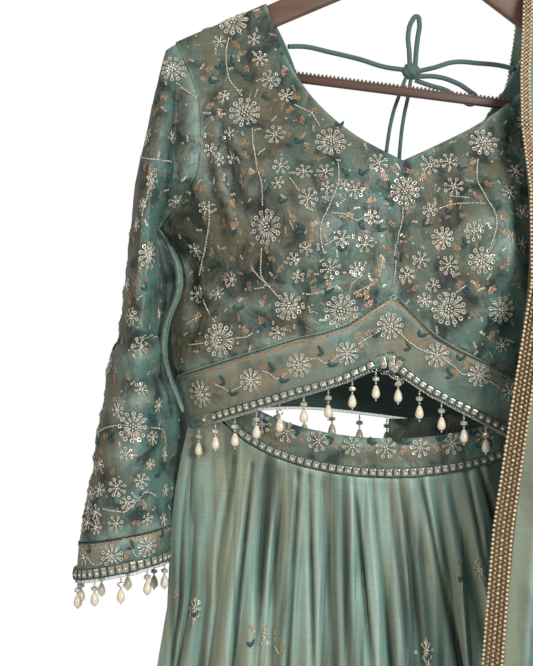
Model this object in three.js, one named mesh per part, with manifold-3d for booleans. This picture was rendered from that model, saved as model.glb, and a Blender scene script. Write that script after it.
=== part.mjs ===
// Lehenga set on a wooden hanger: a beaded choli, a pleated skirt hung inside it from the
// hanger's bar, and a dupatta laid over one shoulder. Millimetres, +Z up, +Y to the back.
// The origin is the inside top of the hook, where a peg carries the whole set.
import * as THREE from 'three';
import { mergeVertices } from 'three/addons/utils/BufferGeometryUtils.js';
import Module from 'manifold-3d';

const wasm = await Module();
wasm.setup();

const root = new THREE.Group();

// The hanger hangs turned about the hook, and the choli and dupatta turn with it.
// Their sizes are x to the right, y to the back and drop down from the hook, before the turn.
const TILT = THREE.MathUtils.degToRad(7.3);
const hung = new THREE.Group();
hung.rotation.y = TILT;
root.add(hung);

// Wall of the cloth, gap at a seam, wall of a trim and how far a trim's face stands off the cloth.
const CLOTH = 1.2;
const SEAM = 0.4;
const TRIM = 1.2;
const STAND_OFF = TRIM + 0.3;

const silk = new THREE.MeshStandardMaterial({ color: 0x66807a, roughness: 0.45, metalness: 0.0 });
const skirtSilk = new THREE.MeshStandardMaterial({ color: 0x7d9a92, roughness: 0.42, metalness: 0.0 });
const dupattaSilk = new THREE.MeshStandardMaterial({ color: 0x7fa09b, roughness: 0.4, metalness: 0.0 });
const darkSilk = new THREE.MeshStandardMaterial({ color: 0x39504b, roughness: 0.5, metalness: 0.0 });
const silverTrim = new THREE.MeshStandardMaterial({ color: 0xa9b2a8, roughness: 0.3, metalness: 0.6 });
const goldLace = new THREE.MeshStandardMaterial({ color: 0xb89a72, roughness: 0.3, metalness: 0.7 });
const pearl = new THREE.MeshStandardMaterial({ color: 0xe3d3b8, roughness: 0.25, metalness: 0.0 });
const wood = new THREE.MeshStandardMaterial({ color: 0x6e5543, roughness: 0.55, metalness: 0.0 });
const steel = new THREE.MeshStandardMaterial({ color: 0xb8bcc0, roughness: 0.25, metalness: 1.0 });

function mesh(name, geometry, material, group = hung) {
  const piece = new THREE.Mesh(geometry, material);
  piece.name = name;
  group.add(piece);
}

// A value from a column of a table at any height between its rows, on a smooth curve.
function along(values, at) {
  const last = values.length - 1;
  const row = Math.min(Math.max(Math.floor(at), 0), last - 1);
  const t = Math.min(Math.max(at - row, 0), 1);
  const here = values[row];
  const next = values[row + 1];
  const before = row > 0 ? values[row - 1] : 2 * here - next;
  const after = row + 1 < last ? values[row + 2] : 2 * next - here;
  const slopeHere = (next - before) / 2;
  const slopeNext = (after - here) / 2;
  const t2 = t * t;
  const t3 = t2 * t;
  return (2 * t3 - 3 * t2 + 1) * here + (t3 - 2 * t2 + t) * slopeHere
    + (3 * t2 - 2 * t3) * next + (t3 - t2) * slopeNext;
}

// A value at x from a table whose rows are [x, value], on straight lines between them.
function between(table, x) {
  let row = 0;
  while (row < table.length - 2 && table[row + 1][0] < x) row += 1;
  const [x0, v0] = table[row];
  const [x1, v1] = table[row + 1];
  return v0 + (v1 - v0) * Math.min(Math.max((x - x0) / (x1 - x0), 0), 1);
}

const ease = (t) => {
  const k = Math.min(Math.max(t, 0), 1);
  return k * k * (3 - 2 * k);
};
const mix = (a, b, t) => a + (b - a) * t;
const place = (x, y, drop) => new THREE.Vector3(x, y, -drop);

// Outward normals of a grid of points. Where a grid runs left to right and downwards, its plain
// normals point to the back, so a front panel or a sleeve turns them with a facing of -1.
function outwardNormals(grid, closed, facing = 1) {
  const rows = grid.length;
  const columns = grid[0].length;
  const pick = (i, j) => {
    const row = Math.min(Math.max(i, 0), rows - 1);
    const column = closed ? (j + columns) % columns : Math.min(Math.max(j, 0), columns - 1);
    return grid[row][column];
  };
  return grid.map((line, i) => line.map((point, j) => {
    const down = pick(i + 1, j).clone().sub(pick(i - 1, j));
    const across = pick(i, j + 1).clone().sub(pick(i, j - 1));
    return across.cross(down).normalize().multiplyScalar(facing);
  }));
}

// Cloth as a closed wall: the outer points are given, the inner ones lie a thickness behind.
// A closed grid joins its last column to its first and makes a tube that is open at both ends.
function wall(grid, options = {}) {
  const { thickness = CLOTH, closed = false, lift = 0, facing = 1, normals = null } = options;
  const rows = grid.length;
  const columns = grid[0].length;
  const direction = normals ?? outwardNormals(grid, closed, facing);
  const positions = [];
  const layer = (offset) => grid.forEach((line, i) => line.forEach((point, j) => {
    positions.push(...point.clone().addScaledVector(direction[i][j], offset).toArray());
  }));
  layer(lift);
  layer(lift - thickness);
  const inner = rows * columns;
  const index = [];
  const quad = (a, b, c, d) => index.push(a, b, c, a, c, d);
  const spans = closed ? columns : columns - 1;
  for (let i = 0; i < rows - 1; i += 1) {
    for (let j = 0; j < spans; j += 1) {
      const next = (j + 1) % columns;
      const a = i * columns + j;
      const b = i * columns + next;
      const c = (i + 1) * columns + next;
      const d = (i + 1) * columns + j;
      quad(a, b, c, d);
      quad(inner + a, inner + d, inner + c, inner + b);
    }
  }
  for (let j = 0; j < spans; j += 1) {
    const next = (j + 1) % columns;
    const foot = (rows - 1) * columns;
    quad(j, inner + j, inner + next, next);
    quad(foot + j, foot + next, inner + foot + next, inner + foot + j);
  }
  if (!closed) {
    for (let i = 0; i < rows - 1; i += 1) {
      const left = i * columns;
      const right = left + columns - 1;
      quad(left, left + columns, inner + left + columns, inner + left);
      quad(right, inner + right, inner + right + columns, right + columns);
    }
  }
  return facingOut(new THREE.BufferGeometry()
    .setAttribute('position', new THREE.Float32BufferAttribute(positions, 3))
    .setIndex(index));
}

function volume(geometry) {
  const points = geometry.attributes.position;
  const index = geometry.index.array;
  const a = new THREE.Vector3();
  const b = new THREE.Vector3();
  const c = new THREE.Vector3();
  let sum = 0;
  for (let i = 0; i < index.length; i += 3) {
    a.fromBufferAttribute(points, index[i]);
    b.fromBufferAttribute(points, index[i + 1]);
    c.fromBufferAttribute(points, index[i + 2]);
    sum += a.dot(b.cross(c)) / 6;
  }
  return sum;
}

function facingOut(geometry) {
  if (volume(geometry) > 0) return geometry;
  const index = geometry.index.array;
  for (let i = 0; i < index.length; i += 3) {
    const second = index[i + 1];
    index[i + 1] = index[i + 2];
    index[i + 2] = second;
  }
  return geometry;
}

// Choli panels
// Each row of a panel runs from its inner edge, which is the neckline and then the centre line,
// to its outer edge, which is the armhole and then the side seam. Row 0 is the shoulder seam,
// row 1 just over the hanger's arm, row 7 the front V, row 9 the underarm, row 14 the top of
// the shaped band, row 17 the hem.
const UNDERARM = 9;
const BAND_TOP = 14;
const TRIM_TOP = 16;
const HEM = 17;

const ARM_TOP = 62.3;
const ARM_BOTTOM = 88;
const ARM_SLOPE = 0.601;
const armTop = (x) => ARM_TOP + ARM_SLOPE * Math.abs(x);

// Outer edge: left x and drop, right x at the same drop, front depth and back depth.
const OUTER = [
  { x: -220.7, drop: 191.9, rightX: 220.7, front: -0.8, back: 0.8 },
  { x: -219, drop: 193.7, rightX: 219, front: -7.8, back: 7.8 },
  { x: -205, drop: 218, rightX: 205, front: -17, back: 15 },
  { x: -192.5, drop: 238.5, rightX: 192.5, front: -24, back: 21 },
  { x: -188.5, drop: 258, rightX: 188.5, front: -29, back: 26 },
  { x: -186, drop: 278, rightX: 186, front: -32, back: 29 },
  { x: -183.5, drop: 300, rightX: 183.5, front: -33, back: 30 },
  { x: -186, drop: 317, rightX: 186, front: -30, back: 27 },
  { x: -202, drop: 340, rightX: 202, front: -17, back: 15 },
  { x: -213, drop: 361, rightX: 213, front: -2.2, back: 2.2 },
  { x: -194, drop: 381, rightX: 196, front: -1.8, back: 1.8 },
  { x: -183, drop: 405, rightX: 188, front: -1.8, back: 1.8 },
  { x: -193, drop: 432, rightX: 195, front: -1.8, back: 1.8 },
  { x: -195.5, drop: 458, rightX: 197, front: -1.8, back: 1.8 },
  { x: -182, drop: 492, rightX: 197, front: -1.8, back: 1.8 },
  { x: -172, drop: 513, rightX: 196, front: -1.8, back: 1.8 },
  { x: -166, drop: 526, rightX: 195, front: -1.8, back: 1.8 },
  { x: -162.6, drop: 534.9, rightX: 194, front: -1.8, back: 1.8 },
];

// Inner edges: left x and drop, right x and drop, depth. The neck sits off centre on the hanger.
const FRONT_INNER = [
  { x: -144.0, drop: 145.8, rightX: 112.0, rightDrop: 126.6, depth: -0.8 },
  { x: -143.5, drop: 148.3, rightX: 111.8, rightDrop: 129.2, depth: -7.8 },
  { x: -136.0, drop: 166.4, rightX: 110.0, rightDrop: 160.0, depth: -12 },
  { x: -125.0, drop: 187.0, rightX: 102.0, rightDrop: 189.0, depth: -17 },
  { x: -109.0, drop: 212.0, rightX: 86.0, rightDrop: 206.0, depth: -24 },
  { x: -80.4, drop: 241.8, rightX: 61.0, rightDrop: 232.0, depth: -34 },
  { x: -44.0, drop: 264.0, rightX: 29.0, rightDrop: 254.0, depth: -43 },
  { x: -6.9, drop: 276.7, rightX: -6.9, rightDrop: 276.7, depth: -50 },
  { x: -6.3, drop: 300.0, rightX: -6.3, rightDrop: 300.0, depth: -52 },
  { x: -5.5, drop: 322.0, rightX: -5.5, rightDrop: 322.0, depth: -53 },
  { x: -4.6, drop: 343.0, rightX: -4.6, rightDrop: 343.0, depth: -54 },
  { x: -3.6, drop: 362.0, rightX: -3.6, rightDrop: 362.0, depth: -55 },
  { x: -2.4, drop: 377.0, rightX: -2.4, rightDrop: 377.0, depth: -56 },
  { x: -1.2, drop: 387.0, rightX: -1.2, rightDrop: 387.0, depth: -57 },
  { x: -0.4, drop: 394.6, rightX: -0.4, rightDrop: 394.6, depth: -58 },
  { x: -0.6, drop: 424.0, rightX: -0.6, rightDrop: 424.0, depth: -58 },
  { x: -0.9, drop: 444.0, rightX: -0.9, rightDrop: 444.0, depth: -57 },
  { x: -1.2, drop: 455.2, rightX: -1.2, rightDrop: 455.2, depth: -57 },
];
const BACK_INNER = [
  { x: -144.0, drop: 145.8, rightX: 112.0, rightDrop: 126.6, depth: 0.8 },
  { x: -143.5, drop: 148.3, rightX: 111.8, rightDrop: 129.2, depth: 7.8 },
  { x: -133.0, drop: 162.0, rightX: 101.0, rightDrop: 146.0, depth: 11 },
  { x: -122.0, drop: 178.0, rightX: 93.0, rightDrop: 165.0, depth: 16 },
  { x: -110.0, drop: 198.0, rightX: 82.0, rightDrop: 193.0, depth: 22 },
  { x: -98.0, drop: 226.0, rightX: 68.0, rightDrop: 222.0, depth: 28 },
  { x: -78.0, drop: 268.0, rightX: 52.0, rightDrop: 262.0, depth: 33 },
  { x: -48.0, drop: 308.0, rightX: 26.0, rightDrop: 303.0, depth: 36 },
  { x: -10.0, drop: 333.0, rightX: -10.0, rightDrop: 333.0, depth: 37 },
  { x: -9.0, drop: 350.0, rightX: -9.0, rightDrop: 350.0, depth: 38 },
  { x: -8.0, drop: 366.0, rightX: -8.0, rightDrop: 366.0, depth: 39 },
  { x: -7.0, drop: 385.0, rightX: -7.0, rightDrop: 385.0, depth: 40 },
  { x: -5.0, drop: 410.0, rightX: -5.0, rightDrop: 410.0, depth: 40 },
  { x: -3.0, drop: 432.0, rightX: -3.0, rightDrop: 432.0, depth: 40 },
  { x: -1.0, drop: 452.0, rightX: -1.0, rightDrop: 452.0, depth: 40 },
  { x: -1.0, drop: 476.0, rightX: -1.0, rightDrop: 476.0, depth: 40 },
  { x: -1.0, drop: 492.0, rightX: -1.0, rightDrop: 492.0, depth: 40 },
  { x: -1.0, drop: 503.0, rightX: -1.0, rightDrop: 503.0, depth: 40 },
];
const column = (table, key) => table.map((row) => row[key] ?? 0);

const outer = {
  x: column(OUTER, 'x'),
  drop: column(OUTER, 'drop'),
  rightX: column(OUTER, 'rightX'),
  front: column(OUTER, 'front'),
  back: column(OUTER, 'back'),
};
const inner = {};
for (const [face, table] of [['front', FRONT_INNER], ['back', BACK_INNER]]) {
  inner[face] = {
    leftX: column(table, 'x'),
    leftDrop: column(table, 'drop'),
    rightX: column(table, 'rightX'),
    rightDrop: column(table, 'rightDrop'),
    depth: column(table, 'depth'),
  };
}

// The band's top edge rises to a small ogee point: how far it lies below a straight row.
const OGEE = [[0, 0], [0.05, 1.5], [0.12, 7], [0.23, 13.6], [0.42, 6.4], [0.78, 2], [1, 0]];
const OGEE_SHARE = [[9, 0], [12, 0.5], [BAND_TOP, 1], [HEM, 0.25]];
// The swell over each cup: its middle, its depth and how wide and high it is.
const BUST = { x: 84, drop: 348, depth: 40, wide: 50, high: 60 };
// How square a panel's section is: above the underarm, and at the hem where the skirt fills it.
const SQUARE = { front: [2.2, 4], back: [2.6, 5] };

// A point of a panel: face is front or back, side is -1 at the left and 1 at the right,
// across runs from 0 at the inner edge to 1 at the outer one.
function choliPoint(face, side, across, row) {
  const edge = inner[face];
  const left = side < 0;
  const inX = along(left ? edge.leftX : edge.rightX, row);
  const inDrop = along(left ? edge.leftDrop : edge.rightDrop, row);
  const inDepth = along(edge.depth, row);
  const outX = along(left ? outer.x : outer.rightX, row);
  const outDrop = along(outer.drop, row);
  const outDepth = along(outer[face], row);
  const x = mix(inX, outX, across);
  let drop = mix(inDrop, outDrop, across);
  const square = mix(...SQUARE[face], ease((row - UNDERARM) / (BAND_TOP - UNDERARM)));
  let depth = outDepth + (inDepth - outDepth) * (1 - across ** square);
  if (face === 'front') {
    drop += between(OGEE, across) * between(OGEE_SHARE, row);
    const nearX = (Math.abs(x) - BUST.x) / BUST.wide;
    const nearDrop = (drop - BUST.drop) / BUST.high;
    const reach = ease((1 - across) / 0.35);
    depth -= BUST.depth * reach * Math.exp(-(nearX * nearX) - nearDrop * nearDrop);
  } else {
    const level = ease((row - UNDERARM) / (HEM - UNDERARM));
    drop = mix(inDrop, outDrop, mix(across, across ** 3, level));
  }
  return place(x, depth, drop);
}

// Columns from the left outer edge through the centre to the right outer edge.
const ACROSS = [1, 0.94, 0.84, 0.7, 0.56, 0.43, 0.32, 0.2, 0.1];
const COLUMNS = [
  ...ACROSS.map((across) => [-1, across]),
  [-1, 0],
  ...[...ACROSS].reverse().map((across) => [1, across]),
];
const NECK_ROWS = { front: 7, back: 8 };
const FACING = { front: -1, back: 1 };

// The two halves of a panel above its neck point are joined below it. The neckline is open,
// so the panel is two straps that meet: rows from the neck point down span both halves.
function strapGrid(face, side, rows) {
  const list = side < 0 ? [...ACROSS, 0] : [0, ...[...ACROSS].reverse()];
  return rows.map((row) => list.map((across) => choliPoint(face, side, across, row)));
}
const bodyGrid = (face, rows) =>
  rows.map((row) => COLUMNS.map(([side, across]) => choliPoint(face, side, across, row)));

function merged(geometry) {
  const plain = geometry.clone();
  plain.deleteAttribute('normal');
  plain.deleteAttribute('uv');
  return mergeVertices(plain, 1e-4);
}
function solid(geometry) {
  const clean = merged(geometry);
  return new wasm.Manifold(new wasm.Mesh({
    numProp: 3,
    vertProperties: new Float32Array(clean.attributes.position.array),
    triVerts: new Uint32Array(clean.index.array),
  }));
}
function geometryOf(manifold) {
  const data = manifold.getMesh();
  return new THREE.BufferGeometry()
    .setAttribute('position', new THREE.Float32BufferAttribute(data.vertProperties, 3))
    .setIndex(Array.from(data.triVerts));
}

// A panel as one closed wall. Its outer and inner layers are the two straps and the body,
// sewn along the row of the neck point, so the layers are made together from one point list.
function panel(face, lastRow) {
  const neck = NECK_ROWS[face];
  const strapRows = [0, 0.5];
  for (let row = 1; row <= neck; row += 1) strapRows.push(row);
  const bodyRows = [];
  for (let row = neck; row < lastRow; row += 1) bodyRows.push(row);
  bodyRows.push(lastRow);
  const grids = [
    strapGrid(face, -1, strapRows),
    strapGrid(face, 1, strapRows),
    bodyGrid(face, bodyRows),
  ];
  const key = (point) => point.toArray().map((value) => value.toFixed(3)).join();
  const sums = new Map();
  grids.forEach((grid) => {
    outwardNormals(grid, false, FACING[face]).forEach((line, i) => line.forEach((normal, j) => {
      const at = key(grid[i][j]);
      sums.set(at, (sums.get(at) ?? new THREE.Vector3()).add(normal));
    }));
  });
  const positions = [];
  const index = [];
  const ids = new Map();
  const id = (point, layer) => {
    const at = `${key(point)}/${layer}`;
    if (!ids.has(at)) {
      ids.set(at, positions.length / 3);
      const normal = sums.get(key(point)).clone().normalize();
      positions.push(...point.clone().addScaledVector(normal, -layer * CLOTH).toArray());
    }
    return ids.get(at);
  };
  const edges = new Map();
  const face3 = (a, b, c) => {
    index.push(id(a, 0), id(b, 0), id(c, 0), id(a, 1), id(c, 1), id(b, 1));
    [[a, b], [b, c], [c, a]].forEach(([from, to]) => {
      const back = `${key(to)}|${key(from)}`;
      if (edges.has(back)) edges.delete(back);
      else edges.set(`${key(from)}|${key(to)}`, [from, to]);
    });
  };
  grids.forEach((grid) => {
    for (let i = 0; i < grid.length - 1; i += 1) {
      for (let j = 0; j < grid[0].length - 1; j += 1) {
        face3(grid[i][j], grid[i][j + 1], grid[i + 1][j + 1]);
        face3(grid[i][j], grid[i + 1][j + 1], grid[i + 1][j]);
      }
    }
  });
  edges.forEach(([from, to]) => {
    index.push(id(from, 1), id(to, 1), id(to, 0), id(from, 1), id(to, 0), id(from, 0));
  });
  return facingOut(new THREE.BufferGeometry()
    .setAttribute('position', new THREE.Float32BufferAttribute(positions, 3))
    .setIndex(index));
}

// A small share of a row is the seam gap between the body and its band.
const SEAM_SHARE = 0.012;
mesh('choli_front', panel('front', BAND_TOP - SEAM_SHARE), silk);
mesh('choli_back', panel('back', BAND_TOP - SEAM_SHARE), silk);

// The band along the hem, the cord piped over its top seam and the square-set trim on its edge.
const bandRows = [BAND_TOP + SEAM_SHARE, BAND_TOP + 1, TRIM_TOP, HEM];
// Half the piping's height, as a share of a row.
const PIPING = 0.07;
for (const face of ['front', 'back']) {
  const facing = FACING[face];
  mesh(`${face}_band`, wall(bodyGrid(face, bandRows), { facing }), silk);
  const raised = { thickness: TRIM, lift: STAND_OFF, facing };
  mesh(`hem_trim_${face}`, wall(bodyGrid(face, [TRIM_TOP + 0.1, HEM]), raised), silverTrim);
}
const pipingGrid = bodyGrid('front', [BAND_TOP - PIPING, BAND_TOP + PIPING]);
mesh('band_piping', wall(pipingGrid, { thickness: TRIM, lift: STAND_OFF, facing: -1 }), darkSilk);

// Sleeves
// Each ring has its outer point, its inner point and half its depth, and the first rings
// still lean towards the armhole. The left sleeve is given. The right one is its mirror, but
// swings outwards, because the skirt hangs plumb beside it. The left one is tucked in behind the
// choli's side and the skirt's: tuck is how far its back widens towards them.
const SLEEVE = [
  { outX: -228.5, outDrop: 204, inX: -216, inDrop: 365, deep: 44, armhole: 0.6, away: -9 },
  { outX: -230, outDrop: 225, inX: -214.5, inDrop: 370, deep: 54, armhole: 0.25, away: -16 },
  { outX: -235, outDrop: 256, inX: -212, inDrop: 380, deep: 58, tuck: 6 },
  { outX: -239.5, outDrop: 298, inX: -206, inDrop: 398, deep: 58, tuck: 19 },
  { outX: -240.5, outDrop: 344, inX: -202, inDrop: 416, deep: 56, tuck: 25, rightOut: 2 },
  { outX: -239.5, outDrop: 392, inX: -200, inDrop: 444, deep: 54, tuck: 22, rightOut: 4 },
  { outX: -238.5, outDrop: 436, inX: -199.5, inDrop: 470, deep: 52, tuck: 19, rightOut: 8 },
  { outX: -239, outDrop: 466, inX: -194, inDrop: 494, deep: 50, tuck: 20, rightOut: 13 },
  { outX: -246, outDrop: 486, inX: -187, inDrop: 512, deep: 48, tuck: 22, rightOut: 19 },
  { outX: -244, outDrop: 520, inX: -182.5, inDrop: 540, deep: 46, tuck: 26, rightOut: 26 },
  { outX: -246, outDrop: 562, inX: -178, inDrop: 572, deep: 43, tuck: 26, rightOut: 35 },
  { outX: -247, outDrop: 604, inX: -173.5, inDrop: 600, deep: 40, tuck: 20, rightOut: 46 },
  { outX: -251, outDrop: 650, inX: -170.5, inDrop: 625, deep: 37, tuck: 16, rightOut: 58 },
  { outX: -250, outDrop: 673, inX: -169.5, inDrop: 646, deep: 36, tuck: 13, rightOut: 64 },
  { outX: -249, outDrop: 684, inX: -169, inDrop: 656, deep: 36, tuck: 12, rightOut: 68 },
];
const CUFF_RING = 12;
const CUFF_TRIM_RING = 13;
const CUFF_END = 14;

const ring = {};
for (const name of ['outX', 'outDrop', 'inX', 'inDrop', 'deep', 'armhole', 'away', 'tuck', 'rightOut']) {
  ring[name] = column(SLEEVE, name);
}
// Row 0 is the armhole's own row of points; the table's first ring is row 1.
const ARMHOLE_STEPS = 2 * UNDERARM;
function armholePoint(side, step, out) {
  const turn = Math.min(step, ARMHOLE_STEPS - step);
  const face = step <= UNDERARM ? 'front' : 'back';
  const point = choliPoint(face, side, 1, turn);
  if (turn === 0 || turn === UNDERARM) point.y = 0;
  point.x += side * out;
  return point;
}
function sleevePoint(side, step, row) {
  if (row === 0) return armholePoint(side, step, SEAM);
  const at = row - 1;
  const angle = (2 * Math.PI * step) / ARMHOLE_STEPS;
  const outX = along(ring.outX, at);
  const inX = along(ring.inX, at);
  const outDrop = along(ring.outDrop, at);
  const inDrop = along(ring.inDrop, at);
  const swing = Math.cos(angle);
  const leftX = (outX + inX) / 2 + ((outX - inX) / 2) * swing;
  const drop = (outDrop + inDrop) / 2 + ((outDrop - inDrop) / 2) * swing;
  const depth = -along(ring.deep, at) * Math.sin(angle);
  const behind = 2 * Math.max(0, -Math.sin(angle)) * Math.max(0, -swing);
  const x = side < 0 ? leftX + along(ring.tuck, at) * behind : -leftX + along(ring.rightOut, at);
  const own = place(x, depth, drop);
  const near = along(ring.armhole, at);
  if (near <= 0.001) return own;
  const edge = armholePoint(side, step, -along(ring.away, at));
  edge.z -= 8 * (1 - near);
  return own.lerp(edge, near);
}
function sleeveGrid(side, rows) {
  const steps = [];
  for (let step = 0; step < ARMHOLE_STEPS; step += 1) steps.push(side < 0 ? step : -step);
  return rows.map((row) => steps.map((step) =>
    sleevePoint(side, (step + ARMHOLE_STEPS) % ARMHOLE_STEPS, row)));
}
// At the armhole the sleeve's wall runs on from the panel's, so it has the panel's normals.
function armholeNormal(side, index, own) {
  const step = (side < 0 ? index : ARMHOLE_STEPS - index) % ARMHOLE_STEPS;
  const turn = Math.min(step, ARMHOLE_STEPS - step);
  if (turn === UNDERARM) return own;
  if (turn === 0) return new THREE.Vector3(0, 0, 1);
  const face = step <= UNDERARM ? 'front' : 'back';
  const edge = choliPoint(face, side, 1, turn);
  const across = edge.clone().sub(choliPoint(face, side, 0.93, turn));
  const down = choliPoint(face, side, 1, turn + 0.5).sub(choliPoint(face, side, 1, Math.max(turn - 0.5, 0)));
  const normal = across.cross(down).normalize();
  return normal.dot(own) < 0 ? normal.negate() : normal;
}
const SLEEVES = [['left', -1], ['right', 1]];
for (const [hand, side] of SLEEVES) {
  const rows = [0];
  for (let at = 0; at < CUFF_RING; at += 1) rows.push(at + 1);
  rows.push(CUFF_RING + 1 - 0.02);
  const grid = sleeveGrid(side, rows);
  const normals = outwardNormals(grid, true, -1);
  normals[0] = normals[0].map((own, i) => armholeNormal(side, i, own));
  mesh(`sleeve_${hand}`, wall(grid, { closed: true, normals }), silk);
  const cuffRows = [CUFF_RING + 1.02, CUFF_TRIM_RING + 1, CUFF_END + 1];
  mesh(`cuff_band_${hand}`, wall(sleeveGrid(side, cuffRows), { closed: true, facing: -1 }), silk);
  const trimRows = [CUFF_TRIM_RING + 1, CUFF_END + 1];
  const raised = { closed: true, thickness: TRIM, lift: STAND_OFF, facing: -1 };
  mesh(`cuff_trim_${hand}`, wall(sleeveGrid(side, trimRows), raised), silverTrim);
}

// Drops: seed, crystal, seed, pearl and end seed on one thread, hanging plumb.
const DROP_PROFILE = [
  { down: 4.4, radius: 0.8 },
  { down: 7.6, radius: 3.1 },
  { down: 10.8, radius: 0.9 },
  { down: 19.5, radius: 3.6 },
  { down: 26.6, radius: 0.7 },
];
const DROP_SIDES = 4;
function dropAt(foot, long) {
  const profile = [new THREE.Vector2(0, 0.8)];
  for (const { down, radius } of DROP_PROFILE) profile.push(new THREE.Vector2(radius, -down * long));
  profile.push(new THREE.Vector2(0, -28.2 * long));
  const lathe = new THREE.LatheGeometry(profile.reverse(), DROP_SIDES);
  lathe.rotateX(Math.PI / 2);
  lathe.translate(foot.x, foot.y, foot.z);
  return lathe;
}
const turned = (point) => point.clone().applyAxisAngle(new THREE.Vector3(0, 1, 0), TILT);

// The looped thread edge that carries the drops is a strip just under the trimmed edge.
const STRIP = { high: 2.4, thick: 1.8 };
function dropsOnEdge(name, edge, { closed, facing, anchors, length }) {
  const below = (down) => edge.map((point) => {
    const low = turned(point);
    low.z -= down;
    return low;
  });
  const flat = outwardNormals([below(0), below(1)], closed, facing)[0].map((normal) => {
    const level = normal.clone();
    level.z = 0;
    return level.normalize();
  });
  const strip = wall([below(SEAM), below(SEAM + STRIP.high)], {
    closed, thickness: STRIP.thick, normals: [flat, flat], lift: 0.2,
  });
  let whole = solid(strip);
  for (const [at, long] of anchors) {
    const foot = at.clone().addScaledVector(new THREE.Vector3(0, 0, -1), SEAM + STRIP.high - 0.4);
    whole = whole.add(solid(facingOut(merged(dropAt(foot, long * length)))));
  }
  mesh(name, geometryOf(whole), pearl, root);
}

// A place on a line of points, given by its share of the line's length.
function pointOn(line, share) {
  const lengths = [0];
  for (let i = 1; i < line.length; i += 1) {
    lengths.push(lengths[i - 1] + line[i].distanceTo(line[i - 1]));
  }
  const target = share * lengths[lengths.length - 1];
  let i = 1;
  while (i < line.length - 1 && lengths[i] < target) i += 1;
  const t = (target - lengths[i - 1]) / (lengths[i] - lengths[i - 1]);
  return line[i - 1].clone().lerp(line[i], t);
}
const SHORTER = [1, 0.93, 1.04, 0.97];
function anchorsOn(line, count, inward) {
  const anchors = [];
  for (let i = 0; i < count; i += 1) {
    const at = pointOn(line, (i + 0.5) / count);
    at.y += inward;
    anchors.push([turned(at), SHORTER[i % SHORTER.length]]);
  }
  return anchors;
}
const DROPS = { front: 19, back: 15, cuff: 10 };
for (const face of ['front', 'back']) {
  const edge = bodyGrid(face, [HEM])[0];
  const facing = FACING[face];
  const anchors = anchorsOn(edge, DROPS[face], -0.7 * facing);
  dropsOnEdge(`hem_drops_${face}`, edge, { closed: false, facing, anchors, length: 1 });
}
for (const [hand, side] of SLEEVES) {
  const edge = sleeveGrid(side, [CUFF_END + 1])[0];
  const loop = [...edge, edge[0]];
  const centre = edge.reduce((sum, point) => sum.add(point), new THREE.Vector3())
    .divideScalar(edge.length);
  const anchors = anchorsOn(loop, DROPS.cuff, 0).map(([at, long]) => {
    const toAxis = turned(centre).sub(at);
    toAxis.z = 0;
    return [at.addScaledVector(toAxis.normalize(), 0.7), long];
  });
  dropsOnEdge(`cuff_drops_${hand}`, edge, { closed: true, facing: -1, anchors, length: 0.86 });
}

// Hanger: two arms with a lug under each end, a bar between the lugs and a wire hook.
const ARM = { reach: 216, thick: 6, bevel: 2, lugFrom: 182, lugTo: 200, lugDrop: 215, head: 7, crook: 16 };
const BAR = { top: 203.2, high: 9.8, deep: 8 };
function armsGeometry() {
  const b = ARM.bevel;
  const top = (x) => -(armTop(x) + b);
  const bottom = (x) => -(ARM_BOTTOM + ARM_SLOPE * Math.abs(x) - b);
  const half = [
    [ARM.reach, top(ARM.reach)],
    [ARM.reach + 2, top(ARM.reach) - 6],
    [ARM.reach - 2, bottom(ARM.reach)],
    [ARM.lugTo, bottom(ARM.lugTo)],
    [ARM.lugTo - b, -ARM.lugDrop + b],
    [ARM.lugFrom + 4 + b, -ARM.lugDrop + b],
    [ARM.lugFrom + 4 + b, bottom(ARM.lugFrom)],
  ];
  const outline = new THREE.Shape();
  outline.moveTo(ARM.head, top(ARM.head));
  half.forEach(([x, z]) => outline.lineTo(x, z));
  outline.lineTo(ARM.crook, bottom(ARM.crook));
  outline.quadraticCurveTo(0, bottom(0) + 2, -ARM.crook, bottom(ARM.crook));
  [...half].reverse().forEach(([x, z]) => outline.lineTo(-x, z));
  outline.lineTo(-ARM.head, top(ARM.head));
  const body = new THREE.ExtrudeGeometry(outline, {
    depth: ARM.thick, bevelThickness: b, bevelSize: b, bevelSegments: 1, curveSegments: 8,
  });
  body.translate(0, 0, -ARM.thick / 2);
  body.rotateX(Math.PI / 2);
  return body;
}
mesh('hanger_arms', merged(armsGeometry()), wood);

const barHalf = ARM.lugFrom + 4 - SEAM;
const bar = new THREE.BoxGeometry(2 * barHalf, BAR.deep, BAR.high);
bar.translate(0, 0, -BAR.top - BAR.high / 2);
mesh('hanger_bar', merged(bar), wood);

// The hook's ring is centred under the peg, its wire runs down into the arms' top.
const HOOK = { wire: 4, radius: 16, centre: 14 };
function hookPath() {
  const axis = new THREE.Vector3(0, 0, -HOOK.centre).applyAxisAngle(new THREE.Vector3(0, 1, 0), -TILT);
  const points = [
    new THREE.Vector3(0, 0, -armTop(ARM.head) + 0.3),
    new THREE.Vector3(0, 0, -52),
    new THREE.Vector3(1.5, 0, -44),
    new THREE.Vector3(8, 0, -34),
  ];
  for (let turn = -30; turn <= 200; turn += 23) {
    const angle = THREE.MathUtils.degToRad(turn);
    points.push(axis.clone().add(new THREE.Vector3(
      HOOK.radius * Math.cos(angle), 0, HOOK.radius * Math.sin(angle))));
  }
  return new THREE.CatmullRomCurve3(points);
}
function tube(path, diameter, steps, sides = 8) {
  const section = new THREE.Shape();
  for (let i = 0; i < sides; i += 1) {
    const angle = (2 * Math.PI * i) / sides;
    const at = [(diameter / 2) * Math.cos(angle), (diameter / 2) * Math.sin(angle)];
    if (i === 0) section.moveTo(...at);
    else section.lineTo(...at);
  }
  return facingOut(merged(new THREE.ExtrudeGeometry(section, { steps, extrudePath: path })));
}
mesh('hanger_hook', tube(hookPath(), HOOK.wire, 16), steel);

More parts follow.
